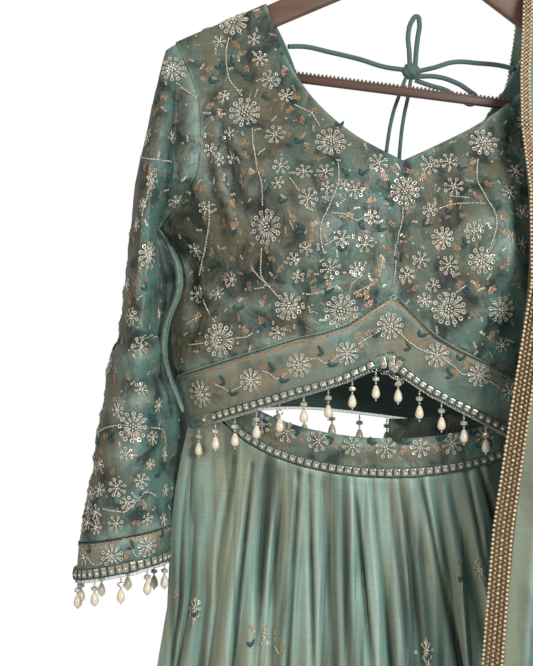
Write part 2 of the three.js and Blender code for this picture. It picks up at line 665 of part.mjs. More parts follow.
// Back ties: a bias tube from each side of the back neck, tied in a bow with two tails.
const TIE = { wide: 4.6, tail: 3.6, knot: 11 };
const TIES = {
  tie_left: [[-119.6, 15.4, 179], [-104, 22, 176], [-81, 28, 177], [-53, 28, 180],
    [-30, 28, 184], [-10.9, 28, 184.5]],
  tie_right: [[88.6, 17, 173], [76, 24, 170], [57.5, 28, 169.7], [34, 28, 171.5],
    [16, 28, 179], [2.6, 28, 184]],
  tie_loop_up: [[-6.5, 27, 179.2], [-8.5, 26, 168], [-11.5, 25.5, 152], [-9.5, 25.5, 139],
    [-5.5, 26, 134.5], [-2.6, 27.5, 139.5], [-2.2, 29, 153], [-2.0, 29, 166], [-1.2, 28.5, 179.0]],
  tie_loop_right: [[2.0, 26.4, 189.2], [18, 25, 187.5], [34, 23, 190], [50, 22, 197], [58, 22, 203.5],
    [55, 23, 208.5], [44, 25, 205.5], [30, 27, 198.5], [15, 29.5, 195.5], [0.4, 30.5, 192.2]],
  tie_tail_left: [[-8.2, 27, 190.3], [-12, 27, 206], [-16, 28, 226], [-17.5, 29, 252],
    [-16.5, 29, 280], [-12, 29, 306], [-8.5, 29, 322]],
  tie_tail_right: [[-3.6, 29, 191], [-4, 29.5, 206], [-5.5, 30, 226], [-5.5, 31, 252],
    [-3.0, 31, 280], [3.0, 31, 300], [8, 31, 312]],
};
for (const [name, points] of Object.entries(TIES)) {
  const path = new THREE.CatmullRomCurve3(points.map(([x, y, drop]) => place(x, y, drop)));
  const steps = name.startsWith('tie_loop') ? 14 : 8;
  mesh(name, tube(path, name.includes('tail') ? TIE.tail : TIE.wide, steps), darkSilk);
}
const knot = new THREE.SphereGeometry(TIE.knot / 2, 10, 7);
knot.scale(1.15, 0.9, 1);
knot.translate(-4, 28, -185);
mesh('tie_knot', facingOut(merged(knot)), darkSilk);

// Skirt, hanging plumb: a drooping waistband, a square-set trim and pleated panels.
const WAIST = { middle: -50, half: 164, side: -425, tall: 35, front: 26, back: 18, sag: 0.42, lens: 0.8 };
const DROOP = { front: 93, back_left: 108, back_right: 78 };
const SKIRT = { length: 1000, sideLength: 985, hemHalf: 338, hemFront: 60, hemBack: 54 };
const PLEATS = 18;
const PLEAT = [
  { at: 0, out: 0 },
  { at: 0.55, out: 1 },
  { at: 0.76, out: -0.15 },
];
// Half width by the share of the skirt's length, from the waist down, at the left and right.
// The right side stays narrow until it is clear of the choli's hem, which swings that way.
const FLARE = {
  left: [[0, 164], [0.045, 168], [0.07, 173], [0.09, 181], [0.16, 193], [0.25, 206],
    [1, SKIRT.hemHalf]],
  right: [[0, 164], [0.1, 164], [0.16, 178], [0.25, 200], [1, SKIRT.hemHalf]],
};

function waistTop(part, s) {
  return WAIST.side - DROOP[part] * (1 - s * s) ** WAIST.sag;
}
// A point of the skirt: s runs from -1 at the left seam to 1 at the right one, and down is
// the share of the length below the waistband. The pleat's own swell is added outwards.
function skirtPoint(part, s, down, swell) {
  const front = part === 'front';
  const turn = 1 - s * s;
  const half = between(s < 0 ? FLARE.left : FLARE.right, down);
  const semi = front ? mix(WAIST.front, SKIRT.hemFront, down) : mix(WAIST.back, SKIRT.hemBack, down);
  const sign = front ? -1 : 1;
  const length = mix(SKIRT.sideLength, SKIRT.length, turn);
  const top = waistTop(part, s) - WAIST.tall - SEAM;
  const depth = semi * Math.max(turn, 0) ** WAIST.lens;
  const swollenX = swell * s * 0.35;
  return new THREE.Vector3(
    WAIST.middle + s * half + swollenX,
    sign * (1.8 + depth + swell),
    top - length * down,
  );
}
function waistPoint(part, s, down) {
  const front = part === 'front';
  const semi = front ? WAIST.front : WAIST.back;
  const depth = semi * Math.max(1 - s * s, 0) ** WAIST.lens;
  return new THREE.Vector3(
    WAIST.middle + s * WAIST.half,
    (front ? -1 : 1) * (1.8 + depth),
    waistTop(part, s) - WAIST.tall * down,
  );
}
// Pleats are not all of one depth: each one's share of the full depth, repeated.
const UNEVEN = [1, 0.7, 0.9, 0.6, 1.1, 0.8, 0.75];
const PLACKET = 0.0016;
// The points of a stretch of the waist, from share to share of its half: where each lies
// between the seams, and how far its pleat stands out. The ends by the seams are finer.
function pleatMarks(from, to) {
  const count = Math.round(PLEATS * (to - from));
  const marks = [];
  for (let pleat = 0; pleat < count; pleat += 1) {
    for (const { at, out } of PLEAT) {
      marks.push([mix(from, to, (pleat + at) / count), out * UNEVEN[pleat % UNEVEN.length]]);
    }
  }
  marks.push([to, 0]);
  if (from === 0.5) marks[0][0] += PLACKET;
  if (to === 0.5) marks[marks.length - 1][0] -= PLACKET;
  return marks.map(([share, out]) => {
    const edge = Math.min(1, 5 * share, 5 * (1 - share));
    return { s: mix(-Math.cos(Math.PI * share), 2 * share - 1, 0.45), out: out * edge };
  });
}
// Each stretch: its waistband's name, its skirt panel's name, its half and its shares of it.
const STRETCHES = [
  ['waistband_front', 'skirt_front', 'front', 0, 1],
  ['waistband_back_left', 'skirt_back_left', 'back_left', 0, 0.5],
  ['waistband_back_right', 'skirt_back_right', 'back_right', 0.5, 1],
];
// How far a pleat stands out by the share of the length, and the rows that a panel is made of.
const SWELL = [[0, 1.6], [0.08, 4.2], [0.3, 7], [1, 11]];
const SKIRT_ROWS = [0, 0.04, 0.12, 0.3, 0.62, 1];
for (const [band, panelName, part, from, to] of STRETCHES) {
  const marks = pleatMarks(from, to);
  const sign = part === 'front' ? -1 : 1;
  const level = (lines) => lines.map((line) => line.map(() => new THREE.Vector3(0, sign, 0)));
  const waistGrid = (downs) => downs.map((down) => marks.map(({ s }) => waistPoint(part, s, down)));
  const waist = waistGrid([0, 1]);
  mesh(band, wall(waist, { thickness: 1.5, normals: level(waist) }), silk, root);
  const pleated = SKIRT_ROWS.map((down) => marks.map(({ s, out }) =>
    skirtPoint(part, s, down, out * between(SWELL, down))));
  mesh(panelName, wall(pleated, { thickness: 1.5, normals: level(pleated) }), skirtSilk, root);
  if (part === 'front') {
    const edge = waistGrid([0.74, 0.99]);
    const raised = { thickness: TRIM, lift: STAND_OFF, normals: level(edge) };
    mesh('waist_trim', wall(edge, raised), silverTrim, root);
  }
}

// Hanging loops from the skirt's side seams over the bar: x over the bar and x at the seam.
const LOOPS = { loop_left: [-199, -212], loop_right: [108, 111.5] };
const LOOP = { wide: 6, thick: 1, clear: 1.8 };
for (const [name, [topX, footX]] of Object.entries(LOOPS)) {
  const seat = turned(place(0, 0, BAR.top));
  const barTop = seat.z - (topX - seat.x) * Math.tan(TILT) + LOOP.clear + LOOP.wide / 2 * Math.tan(TILT);
  const y = BAR.deep / 2 + LOOP.clear;
  const foot = WAIST.side + SEAM;
  const path = [
    [footX, -1.4, foot],
    [mix(footX, topX, 0.1), -2.2, foot + 18],
    [mix(footX, topX, 0.55), -y, mix(foot, barTop, 0.55)],
    [topX, -y - 0.5, barTop - 13],
    [topX, -y, barTop - 2],
    [topX, -y * 0.6, barTop + 1.2],
    [topX, y * 0.6, barTop + 1.2],
    [topX, y, barTop - 2],
    [topX, y + 0.5, barTop - 13],
    [mix(footX, topX, 0.55), y, mix(foot, barTop, 0.55)],
    [mix(footX, topX, 0.1), 2.2, foot + 18],
    [footX, 1.4, foot],
  ];
  const grid = path.map(([x, yAt, z]) => [
    new THREE.Vector3(x - LOOP.wide / 2, yAt, z),
    new THREE.Vector3(x + LOOP.wide / 2, yAt, z),
  ]);
  mesh(`hang_${name}`, wall(grid, { thickness: LOOP.thick }), darkSilk, root);
}

// Dupatta: one length laid over the right arm and shoulder in lengthwise folds. Its left
// edge follows the choli's front. INNER_EDGE gives that edge's x by its drop.
const INNER_EDGE = [
  [110, 84], [176, 87], [202, 86], [229, 89], [257, 96], [302, 103], [343, 108], [386, 110],
  [420, 110], [454, 107], [501, 104], [556, 105], [648, 104], [700, 106], [1200, 170],
];
const DUPATTA = { startX: 84, hem: 1130, backHem: 1090, topWide: 78, wide: 158, hemWide: 212, rest: 6.4 };
const FOLDS = 5;
const FOLD = [
  { at: 0, out: 0 },
  { at: 0.45, out: 1 },
  { at: 0.8, out: -0.3 },
];
// Depth by the distance along the cloth from the arm's top, on the front fall and the back one.
const FRONT_FALL = [
  [0, 0], [4.5, -11.5], [12, -16], [60, -30], [105, -54], [150, -78],
  [200, -96], [240, -104], [330, -104], [420, -98], [600, -90], [1100, -84],
];
const BACK_FALL = [
  [0, 0], [4.5, 11.5], [12, 16], [60, 30], [105, 48], [150, 63],
  [200, 70], [330, 70], [600, 72], [1100, 78],
];
// Rows of each fall by their share of its length: up the front to the arm, and down the back.
const LENGTHWISE = [1, 0.78, 0.58, 0.42, 0.32, 0.23, 0.16, 0.11, 0.07, 0.035, 0.0108, 0.004];
const BACKWISE = [0.004, 0.011, 0.04, 0.09, 0.15, 0.22, 0.5, 1];
function dupattaPoint(fall, front, share, out) {
  const distance = fall * (front ? DUPATTA.hem : DUPATTA.backHem);
  const startDrop = armTop(DUPATTA.startX) - DUPATTA.rest;
  const edgeX = between(INNER_EDGE, startDrop + distance);
  const wide = mix(DUPATTA.topWide, DUPATTA.wide, ease((distance - 100) / 240));
  const spread = mix(wide, DUPATTA.hemWide, ease((distance - 320) / 800));
  const x = edgeX + share * spread;
  const slant = (1 - ease(distance / 420)) * (armTop(x) - armTop(DUPATTA.startX));
  const table = front ? FRONT_FALL : BACK_FALL;
  const swell = out * mix(0.8, 9, ease(distance / 300));
  const depth = between(table, distance) + (front ? -1 : 1) * swell;
  return place(x, depth, startDrop + slant + distance);
}
const dupattaMarks = [[0, 0], [0.05, 0.1], [0.1, 0.25]];
for (let fold = 0; fold < FOLDS; fold += 1) {
  for (const { at, out } of FOLD) {
    dupattaMarks.push([0.14 + 0.76 * ((fold + at) / FOLDS), 0.3 + 0.7 * out * UNEVEN[fold]]);
  }
}
dupattaMarks.push([0.9, 0.25], [0.95, 0.1], [1, 0]);
function dupattaGrid(marks) {
  const front = LENGTHWISE.map((fall) => marks.map(([share, out]) =>
    dupattaPoint(fall, true, share, out)));
  const back = BACKWISE.map((fall) => marks.map(([share, out]) =>
    dupattaPoint(fall, false, share, out)));
  const over = marks.map(([share, out]) => {
    const top = dupattaPoint(0, true, share, out);
    top.y = 0;
    top.z += 0.8;
    return top;
  });
  return [...front, over, ...back];
}
mesh('dupatta', wall(dupattaGrid(dupattaMarks), { thickness: CLOTH }), dupattaSilk);
// The beaded lace lies on the cloth along both long edges.
const borders = { dupatta_border_inner: [0, 3], dupatta_border_outer: [-3, undefined] };
for (const [name, [from, to]] of Object.entries(borders)) {
  const grid = dupattaGrid(dupattaMarks).map((line) => line.slice(from, to));
  mesh(name, wall(grid, { thickness: TRIM, lift: STAND_OFF }), goldLace);
}

export default root;
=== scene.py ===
# Lehenga set on a wooden hanger: a beaded silk choli, a pleated skirt hung inside it from the
# hanger's bar, and a dupatta laid over one shoulder. Metres, +Z up, +Y to the back.
from math import cos, pi, radians, sin
import bpy
import numpy as np
from mathutils import Matrix, Vector, noise
from mathutils.bvhtree import BVHTree


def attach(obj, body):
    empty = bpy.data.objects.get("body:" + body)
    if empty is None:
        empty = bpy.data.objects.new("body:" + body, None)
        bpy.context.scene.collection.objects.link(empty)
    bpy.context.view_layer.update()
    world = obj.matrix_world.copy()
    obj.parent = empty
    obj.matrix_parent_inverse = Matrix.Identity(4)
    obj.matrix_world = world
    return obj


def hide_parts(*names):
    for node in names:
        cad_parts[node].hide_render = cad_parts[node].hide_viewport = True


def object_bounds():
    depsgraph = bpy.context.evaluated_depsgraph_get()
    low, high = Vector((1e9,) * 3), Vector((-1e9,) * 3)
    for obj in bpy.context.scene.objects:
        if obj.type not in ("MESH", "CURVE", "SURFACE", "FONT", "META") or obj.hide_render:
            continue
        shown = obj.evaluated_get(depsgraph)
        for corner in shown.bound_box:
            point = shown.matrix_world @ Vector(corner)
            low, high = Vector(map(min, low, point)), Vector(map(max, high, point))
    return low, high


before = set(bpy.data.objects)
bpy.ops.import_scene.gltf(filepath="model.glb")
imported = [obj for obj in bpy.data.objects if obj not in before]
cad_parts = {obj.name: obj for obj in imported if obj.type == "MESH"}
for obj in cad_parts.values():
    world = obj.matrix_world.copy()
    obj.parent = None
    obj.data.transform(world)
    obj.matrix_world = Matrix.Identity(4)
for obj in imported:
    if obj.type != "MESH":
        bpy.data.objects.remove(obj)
solid_box = [list(corner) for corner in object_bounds()]

# Camera
# The set is seen level and from the front, close enough for a choli to fill the picture.
EYE = Vector((-0.1613, -1.44, -0.4244))
PICTURE = (533, 666)
PICTURE_DISTANCE = 1.4
METRES_A_PIXEL = 0.00088
SENSOR = 36
bpy.ops.object.camera_add(location=EYE, rotation=(pi / 2, 0, 0))
camera = bpy.context.object
camera.data.sensor_fit = "VERTICAL"
camera.data.sensor_height = SENSOR
camera.data.lens = SENSOR * PICTURE_DISTANCE / (PICTURE[1] * METRES_A_PIXEL)
bpy.context.scene.camera = camera


def in_picture(across, down, depth=-0.04):
    """The point at this depth that shows at a pixel of the picture."""
    share = (depth - EYE.y) / PICTURE_DISTANCE
    x = EYE.x + (across - PICTURE[0] / 2) * METRES_A_PIXEL * share
    z = EYE.z - (down - PICTURE[1] / 2) * METRES_A_PIXEL * share
    return Vector((x, depth, z))


# Back ties
# A narrow bias tube of the lining's dark silk runs from each side of the back neck. The two are
# tied in a bow behind the bar, with one loop up, one to the right, and two free tails.
LEAN_ANGLE = radians(7.3)
LEAN = Matrix.Rotation(LEAN_ANGLE, 3, "Y")
TIE_WIDTH = 0.0046
TAIL_WIDTH = 0.0036
TIE_ROUTES = {
    "tie_left": [(-119.6, 15.4, 179), (-104, 22, 176), (-81, 28, 177), (-53, 28, 180),
                 (-30, 28, 184), (-10.9, 28, 184.5)],
    "tie_right": [(88.6, 17, 173), (76, 24, 170), (57.5, 28, 169.7), (34, 28, 171.5),
                  (16, 28, 179), (2.6, 28, 184)],
    "tie_loop_up": [(-6.5, 27, 179.2), (-8.5, 26, 168), (-11.5, 25.5, 152), (-9.5, 25.5, 139),
                    (-5.5, 26, 134.5), (-2.6, 27.5, 139.5), (-2.2, 29, 153), (-2, 29, 166),
                    (-1.2, 28.5, 179)],
    "tie_loop_right": [(2, 26.4, 189.2), (18, 25, 187.5), (34, 23, 190), (50, 22, 197),
                       (58, 22, 203.5), (55, 23, 208.5), (44, 25, 205.5), (30, 27, 198.5),
                       (15, 29.5, 195.5), (0.4, 30.5, 192.2)],
    "tie_tail_left": [(-8.2, 27, 190.3), (-12, 27, 206), (-16, 28, 226), (-17.5, 29, 252),
                      (-16.5, 29, 280), (-12, 29, 306), (-8.5, 29, 322)],
    "tie_tail_right": [(-3.6, 29, 191), (-4, 29.5, 206), (-5.5, 30, 226), (-5.5, 31, 252),
                       (-3, 31, 280), (3, 31, 300), (8, 31, 312)],
}


def hung(x, y, drop):
    """A place on the leaning hanger, from millimetres right, back and down from its hook."""
    return LEAN @ (Vector((x, y, -drop)) / 1000)


def tint(code):
    """A colour as it shows on a screen, #rrggbb, in the linear values of a shader."""
    parts = [int(code[i:i + 2], 16) / 255 for i in (1, 3, 5)]
    linear = [p / 12.92 if p <= 0.04045 else ((p + 0.055) / 1.055) ** 2.4 for p in parts]
    return (*linear, 1)


def shader_node(tree, kind, inputs=None, **settings):
    """The outputs of a new shader node. An input that is given as a socket is linked to it."""
    made = tree.nodes.new("ShaderNode" + kind)
    for name, value in settings.items():
        setattr(made, name, value)
    for name, value in (inputs or {}).items():
        if isinstance(value, bpy.types.NodeSocket):
            tree.links.new(value, made.inputs[name])
        else:
            made.inputs[name].default_value = value
    return made.outputs


def maths(tree, operation, *values, **settings):
    """The result of one operation on sockets or numbers."""
    return shader_node(tree, "Math", dict(enumerate(values)), operation=operation, **settings)[0]


def ranged(tree, value, low=0.0, high=1.0, to_low=0.0, to_high=1.0, **settings):
    """A value moved from one range into another."""
    ends = {"From Min": low, "From Max": high, "To Min": to_low, "To Max": to_high}
    return shader_node(tree, "MapRange", {"Value": value, **ends}, **settings)[0]


def blend(tree, factor, first, second, **settings):
    """A colour between two others, or the second laid over the first."""
    return shader_node(tree, "Mix", {"Factor": factor, "A": first, "B": second}, data_type="RGBA",
                       **settings)["Result"]


def drawn_noise(tree, stretch, detail, **inputs):
    """Noise that is drawn out along the axes where its stretch is small."""
    place = shader_node(tree, "TexCoord")["Object"]
    drawn = shader_node(tree, "Mapping", {"Vector": place, "Scale": stretch})[0]
    given = {"Vector": drawn, "Scale": 1.0, "Detail": detail, **inputs}
    return shader_node(tree, "TexNoise", given)["Fac"]


def surface(name, **values):
    """A new material, its node tree and its Principled shader with these values."""
    material = bpy.data.materials.new(name)
    material.use_nodes = True
    shader = material.node_tree.nodes["Principled BSDF"]
    for key, value in values.items():
        shader.inputs[key.replace("_", " ")].default_value = value
    return material, material.node_tree, shader


def two_toned(tree, shader, factor, dark, light):
    """Colours a shader between two tones."""
    tree.links.new(blend(tree, factor, tint(dark), tint(light)), shader.inputs["Base Color"])


def bumped(tree, shader, height, strength, distance, **inputs):
    """Joins a height to the shader's normal through a Bump node."""
    raised = {"Strength": strength, "Distance": distance, "Height": height, **inputs}
    tree.links.new(shader_node(tree, "Bump", raised)[0], shader.inputs["Normal"])


def effect(name, inputs, outputs):
    """A node group with named sockets: its tree, what enters it and what leaves it."""
    tree = bpy.data.node_groups.new(name, "ShaderNodeTree")
    for way, sockets in (("INPUT", inputs), ("OUTPUT", outputs)):
        for socket, kind in sockets.items():
            tree.interface.new_socket(name=socket, in_out=way, socket_type="NodeSocket" + kind)
    return tree, tree.nodes.new("NodeGroupInput").outputs, tree.nodes.new("NodeGroupOutput").inputs


def placed(tree, group, **inputs):
    """The outputs of a node group that is placed in a material with its own values."""
    return shader_node(tree, "Group", inputs, node_tree=group)


def woven_silk():
    """Fine crossed threads with a thicker slub here and there along the weft."""
    tree, given, result = effect(
        "woven silk", {"Threads": "Float", "Slubs": "Float"}, {"Height": "Float", "Slub": "Float"})
    place = shader_node(tree, "TexCoord")["Object"]
    weft, warp = (shader_node(tree, "TexWave", {"Vector": place, "Scale": given["Threads"],
                  "Distortion": 0.6, "Detail": 1.0}, bands_direction=way)["Fac"] for way in "ZX")
    slub = drawn_noise(tree, (45, 45, 700), 3.0, Roughness=0.6)
    crossed = maths(tree, "ADD", weft, warp)
    tree.links.new(maths(tree, "MULTIPLY_ADD", slub, given["Slubs"], crossed), result["Height"])
    tree.links.new(slub, result["Slub"])
    return tree


WEAVE = woven_silk()
THREADS = 420
# The lining's dark tone is partly painted shade: on the inner faces of the choli it stands in for the
# shade inside the cloth.
LINING_AND_SHADE_SILK, lining_tree, lining_shader = surface("lining and shade silk", Roughness=0.5, Sheen_Weight=0.25)
lining_thread = placed(lining_tree, WEAVE, Threads=THREADS, Slubs=1.2)
two_toned(lining_tree, lining_shader, lining_thread["Slub"], "#38524b", "#64807a")
bumped(lining_tree, lining_shader, lining_thread["Height"], 0.35, 0.0004)

for tie, route in TIE_ROUTES.items():
    width = TAIL_WIDTH if "tail" in tie else TIE_WIDTH
    points = [hung(*stop) for stop in route]
    bpy.ops.curve.primitive_bezier_curve_add()
    ribbon = bpy.context.object
    ribbon.name = tie + "_silk"
    ribbon.data.splines.clear()
    spline = ribbon.data.splines.new("BEZIER")
    spline.bezier_points.add(len(points) - 1)
    for stop, point in zip(spline.bezier_points, points):
        stop.co = point
        stop.handle_left_type = stop.handle_right_type = "AUTO"
    ribbon.data.bevel_depth = width / 2
    ribbon.data.bevel_resolution = 3
    ribbon.data.resolution_u = 8
    ribbon.data.use_fill_caps = True
    ribbon.data.materials.append(LINING_AND_SHADE_SILK)
    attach(ribbon, "root")
    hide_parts(tie)
    spans = [(b - a).length for a, b in zip(points, points[1:])]
    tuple(points[0])
    "bare" if "tail" in tie else "knot"


def pick(piece):
    """Leaves only this piece selected and active."""
    bpy.ops.object.select_all(action="DESELECT")
    piece.select_set(True)
    bpy.context.view_layer.objects.active = piece


MERGE_GAP = 0.00001
# Faces that meet at less than this many degrees are shaded as one.
SMOOTH_BELOW = 55


def changed(piece, kind, **settings):
    """Applies a modifier with these settings to a piece."""
    pick(piece)
    change = piece.modifiers.new(kind, kind)
    for name, value in settings.items():
        setattr(change, name, value)
    bpy.ops.object.modifier_apply(modifier=change.name)


def finer(node, name, levels, material, slot_name, crease=1.0, sharp=40):
    """A finer copy of a solid: its faces made quads, its edges creased, and then subdivided."""
    piece = bpy.data.objects.new(name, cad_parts[node].data.copy())
    bpy.context.collection.objects.link(piece)
    piece.data.materials.clear()
    piece.data.materials.append(material)
    pick(piece)
    bpy.ops.object.mode_set(mode="EDIT")
    bpy.ops.mesh.select_mode(type="EDGE")
    bpy.ops.mesh.select_all(action="SELECT")
    bpy.ops.mesh.remove_doubles(threshold=MERGE_GAP)
    bpy.ops.mesh.tris_convert_to_quads(face_threshold=pi, shape_threshold=pi)
    bpy.ops.mesh.select_all(action="DESELECT")
    bpy.ops.mesh.edges_select_sharp(sharpness=radians(sharp))
    bpy.ops.transform.edge_crease(value=crease)
    bpy.ops.object.mode_set(mode="OBJECT")
    if levels:
        changed(piece, "SUBSURF", levels=levels)
    bpy.ops.object.shade_smooth_by_angle(angle=radians(SMOOTH_BELOW))
    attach(piece, "root")
    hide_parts(node)
    return piece


# The knot is the same tube wound once round itself, so it is a round lump with a few turns.
KNOT_SWELL = 1.55
KNOT_TURNS = 1400
KNOT_RIDGE = 0.0005
KNOT_MIDDLE = hung(-4, 28, 185)
knot = finer("tie_knot", "tie_knot_silk", 2, LINING_AND_SHADE_SILK, "dark_silk")
for vertex in knot.data.vertices:
    turn = sin((vertex.co.x + 0.6 * vertex.co.z) * KNOT_TURNS)
    away = vertex.co - KNOT_MIDDLE
    vertex.co = KNOT_MIDDLE + away * KNOT_SWELL + away.normalized() * KNOT_RIDGE * turn


# Hanger
# Two stained beech arms in one piece with a lug under each end, a ribbed bar between the lugs
# that stops cloth from sliding, and a polished wire hook screwed into the top. The bar's sizes
# are in millimetres.
def wood_grain():
    """Long fine grain along X, its pores, and where it is darker."""
    tree, given, result = effect(
        "wood grain", {"Fineness": "Float"}, {"Dark": "Float", "Height": "Float"})
    rings = drawn_noise(tree, (3, 90, 90), 5.0, Scale=given["Fineness"], Distortion=0.8)
    pits = drawn_noise(tree, (60, 1500, 1500), 2.0)
    tree.links.new(rings, result["Dark"])
    tree.links.new(maths(tree, "MULTIPLY", rings, pits), result["Height"])
    return tree


GRAIN = wood_grain()


def stained_wood(name, dark, light):
    """Wood in two tones of stain under a thin satin lacquer."""
    wood, tree, shader = surface(name, Roughness=0.42, Coat_Weight=0.25, Coat_Roughness=0.3)
    figure = placed(tree, GRAIN, Fineness=1.0)
    two_toned(tree, shader, figure["Dark"], dark, light)
    bumped(tree, shader, figure["Height"], 0.3, 0.0006)
    return wood


arms = finer("hanger_arms", "hanger_arms_wood", 0, stained_wood("hanger wood", "#533a2b", "#806350"),
             "hanger_wood")
changed(arms, "BEVEL", width=0.0006, segments=2, limit_method="ANGLE")

BAR_TOP = 203.2
BAR_HIGH = 9.8
BAR_DEEP = 8
BAR_HALF = 185.6
BAR_ROUNDING = 1.2
RIB_PITCH = 3.6
RIB_HIGH = 1.9
RIB_NARROWED = 0.62
FIRST_RIB = 3
bar_middle = hung(0, 0, BAR_TOP + BAR_HIGH / 2)
bpy.ops.mesh.primitive_cube_add(size=1)
bar = bpy.context.object
bar.name = "hanger_bar_wood"
bar.scale = (2 * BAR_HALF / 1000, BAR_DEEP / 1000, (BAR_HIGH - RIB_HIGH) / 1000)
bpy.ops.object.transform_apply(location=False, rotation=False, scale=True)
bpy.ops.object.mode_set(mode="EDIT")
bpy.ops.mesh.select_all(action="SELECT")
bpy.ops.mesh.bevel(offset=BAR_ROUNDING / 1000, segments=3)
bpy.ops.object.mode_set(mode="OBJECT")
bar.location = (0, 0, -RIB_HIGH / 2000)
bpy.ops.mesh.primitive_cylinder_add(vertices=6, radius=RIB_HIGH / 1000, depth=BAR_DEEP / 1000,
                                    rotation=(pi / 2, 0, 0))
rib = bpy.context.object
rib.scale = (RIB_NARROWED, 1, 1)
rib.location = (-BAR_HALF / 1000 + FIRST_RIB / 1000, 0, BAR_HIGH / 2000 - RIB_HIGH / 1000)
bpy.ops.object.transform_apply(location=True, rotation=True, scale=True)
changed(rib, "ARRAY", use_relative_offset=False, use_constant_offset=True,
        constant_offset_displace=(RIB_PITCH / 1000, 0, 0), count=int((2 * BAR_HALF - 4) / RIB_PITCH))
bar.select_set(True)
bpy.context.view_layer.objects.active = bar
bpy.ops.object.join()
bar.rotation_euler = (0, LEAN_ANGLE, 0)
bar.location = bar_middle + LEAN @ Vector((0, 0, -RIB_HIGH / 2000))
bpy.ops.object.shade_smooth_by_angle(angle=radians(35))
pick(bar)
bpy.ops.object.transform_apply(location=True, rotation=True, scale=True)
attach(bar, "root")
bar.data.materials.append(stained_wood("bar wood", "#3f2a20", "#6b4c3c"))
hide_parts("hanger_bar")

polished_wire, wire_tree, wire_shader = surface(
    "polished wire", Base_Color=tint("#c9cbcc"), Metallic=1.0)
brushed = shader_node(wire_tree, "TexNoise", {"Scale": 900.0, "Detail": 2.0})["Fac"]
wire_tree.links.new(ranged(wire_tree, brushed, to_low=0.14, to_high=0.34),
                    wire_shader.inputs["Roughness"])
bumped(wire_tree, wire_shader, brushed, 0.08, 0.0002)
finer("hanger_hook", "hanger_hook_wire", 2, polished_wire, "hook_wire")


# Choli
# Front and back panels and two sleeves of shot silk, grey-green one way and warm grey the
# other, cut to a deep V in front and a U at the back and pulled into creases by their beads.
def shot_silk():
    """Two-tone silk: the tone turns with the way that the cloth faces, with painted shade in its creases
    and hollows and a painted highlight on its ridges.
    """
    tree, given, result = effect(
        "shot silk",
        {"Warp": "Color", "Weft": "Color", "Shadow": "Color", "Light": "Color", "Patches": "Float",
         "Creases": "Vector", "Depth": "Float"},
        {"Color": "Color", "Height": "Float"})
    place = shader_node(tree, "TexCoord")["Object"]
    facing = shader_node(tree, "NewGeometry")
    sideways = shader_node(tree, "SeparateXYZ", {0: facing["Normal"]})["X"]
    patch = shader_node(tree, "TexNoise", {"Vector": place, "Scale": given["Patches"], "Detail": 4.0,
                        "Roughness": 0.55, "Distortion": 0.9})["Fac"]
    across = maths(tree, "MULTIPLY_ADD", sideways, -0.75, -1.05)
    tone = maths(tree, "MULTIPLY_ADD", patch, 3.1, across, use_clamp=True)
    tones = blend(tree, tone, given["Warp"], given["Weft"])
    # Painted shade: concave creases, found by pointiness, are blended towards the shadow colour.
    fold = ranged(tree, facing["Pointiness"], 0.44, 0.497)
    deep = blend(tree, fold, given["Shadow"], tones)
    # Painted highlight: convex ridges, found by pointiness, are blended towards the highlight colour.
    highlight_mask = ranged(tree, facing["Pointiness"], 0.505, 0.56, to_high=0.8)
    shown = blend(tree, highlight_mask, deep, given["Light"])
    pulled = drawn_noise(tree, given["Creases"], 3.0, Roughness=0.55, Distortion=0.35)
    pinched = maths(tree, "ABSOLUTE", maths(tree, "SUBTRACT", pulled, 0.5))
    line = ranged(tree, pinched, 0.0, 0.06, 0.3, 0.0, interpolation_type="SMOOTHSTEP")
    # Painted shade: the crease lines and hollows of the crease noise, which the bump also shows, are
    # blended towards the shadow colour as strongly as the crease shade strength says.
    hollow_shade = ranged(tree, pulled, 0.54, 0.36)
    dark = maths(tree, "MULTIPLY", maths(tree, "MAXIMUM", line, hollow_shade), given["Depth"])
    tree.links.new(blend(tree, dark, shown, given["Shadow"]), result["Color"])
    tree.links.new(maths(tree, "MULTIPLY_ADD", line, -0.22, pulled), result["Height"])
    return tree


SHOT = shot_silk()


def silk(name, warp, weft, shadow, light, patches=16.0, crumple=0.5, roughness=0.44,
         creases=(52, 30, 42), depth=0.6):
    """A shot silk with its weave and its small creases, which are close where creases is large. Its
    shadow and light colours are painted shade in the creases and a painted highlight on the ridges, and
    depth is how strong the painted crease shade is.
    """
    cloth, tree, shader = surface(name, Roughness=roughness, Sheen_Weight=0.04, Sheen_Roughness=0.4)
    body = placed(tree, SHOT, Warp=tint(warp), Weft=tint(weft), Shadow=tint(shadow),
                  Light=tint(light), Patches=patches, Creases=creases, Depth=depth)
    thread = placed(tree, WEAVE, Threads=THREADS, Slubs=1.5)
    streak = ranged(tree, thread["Slub"], to_low=0.8, to_high=1.18)
    streaked = blend(tree, 1.0, body["Color"], streak, blend_type="MULTIPLY")
    tree.links.new(streaked, shader.inputs["Base Color"])
    woven = {"Strength": 0.12, "Distance": 0.0004, "Height": thread["Height"]}
    bumped(tree, shader, body["Height"], crumple, 0.006, Normal=shader_node(tree, "Bump", woven)[0])
    return cloth


def from_axis(top, foot):
    """Says which way is outwards of the line from top to foot, for each of many points."""
    def outwards(points):
        share = np.clip((points[:, 2] - top.z) / (foot.z - top.z), 0, 1)[:, None]
        middle = np.array(top) + share * (np.array(foot) - np.array(top))
        away = (points - middle) * (1, 1, 0)
        return away / np.maximum(np.linalg.norm(away, axis=1), 1e-6)[:, None]
    return outwards


def facing_y(way):
    """Says that outwards is to the front (-1) or to the back (1), for each of many points."""
    return lambda points: np.tile((0.0, float(way), 0.0), (len(points), 1))


FRONT = facing_y(-1)
BACK = facing_y(1)
LEFT_SLEEVE = from_axis(hung(-222, 0, 285), hung(-209, 0, 670))
RIGHT_SLEEVE = from_axis(hung(222, 0, 285), hung(277, 0, 670))
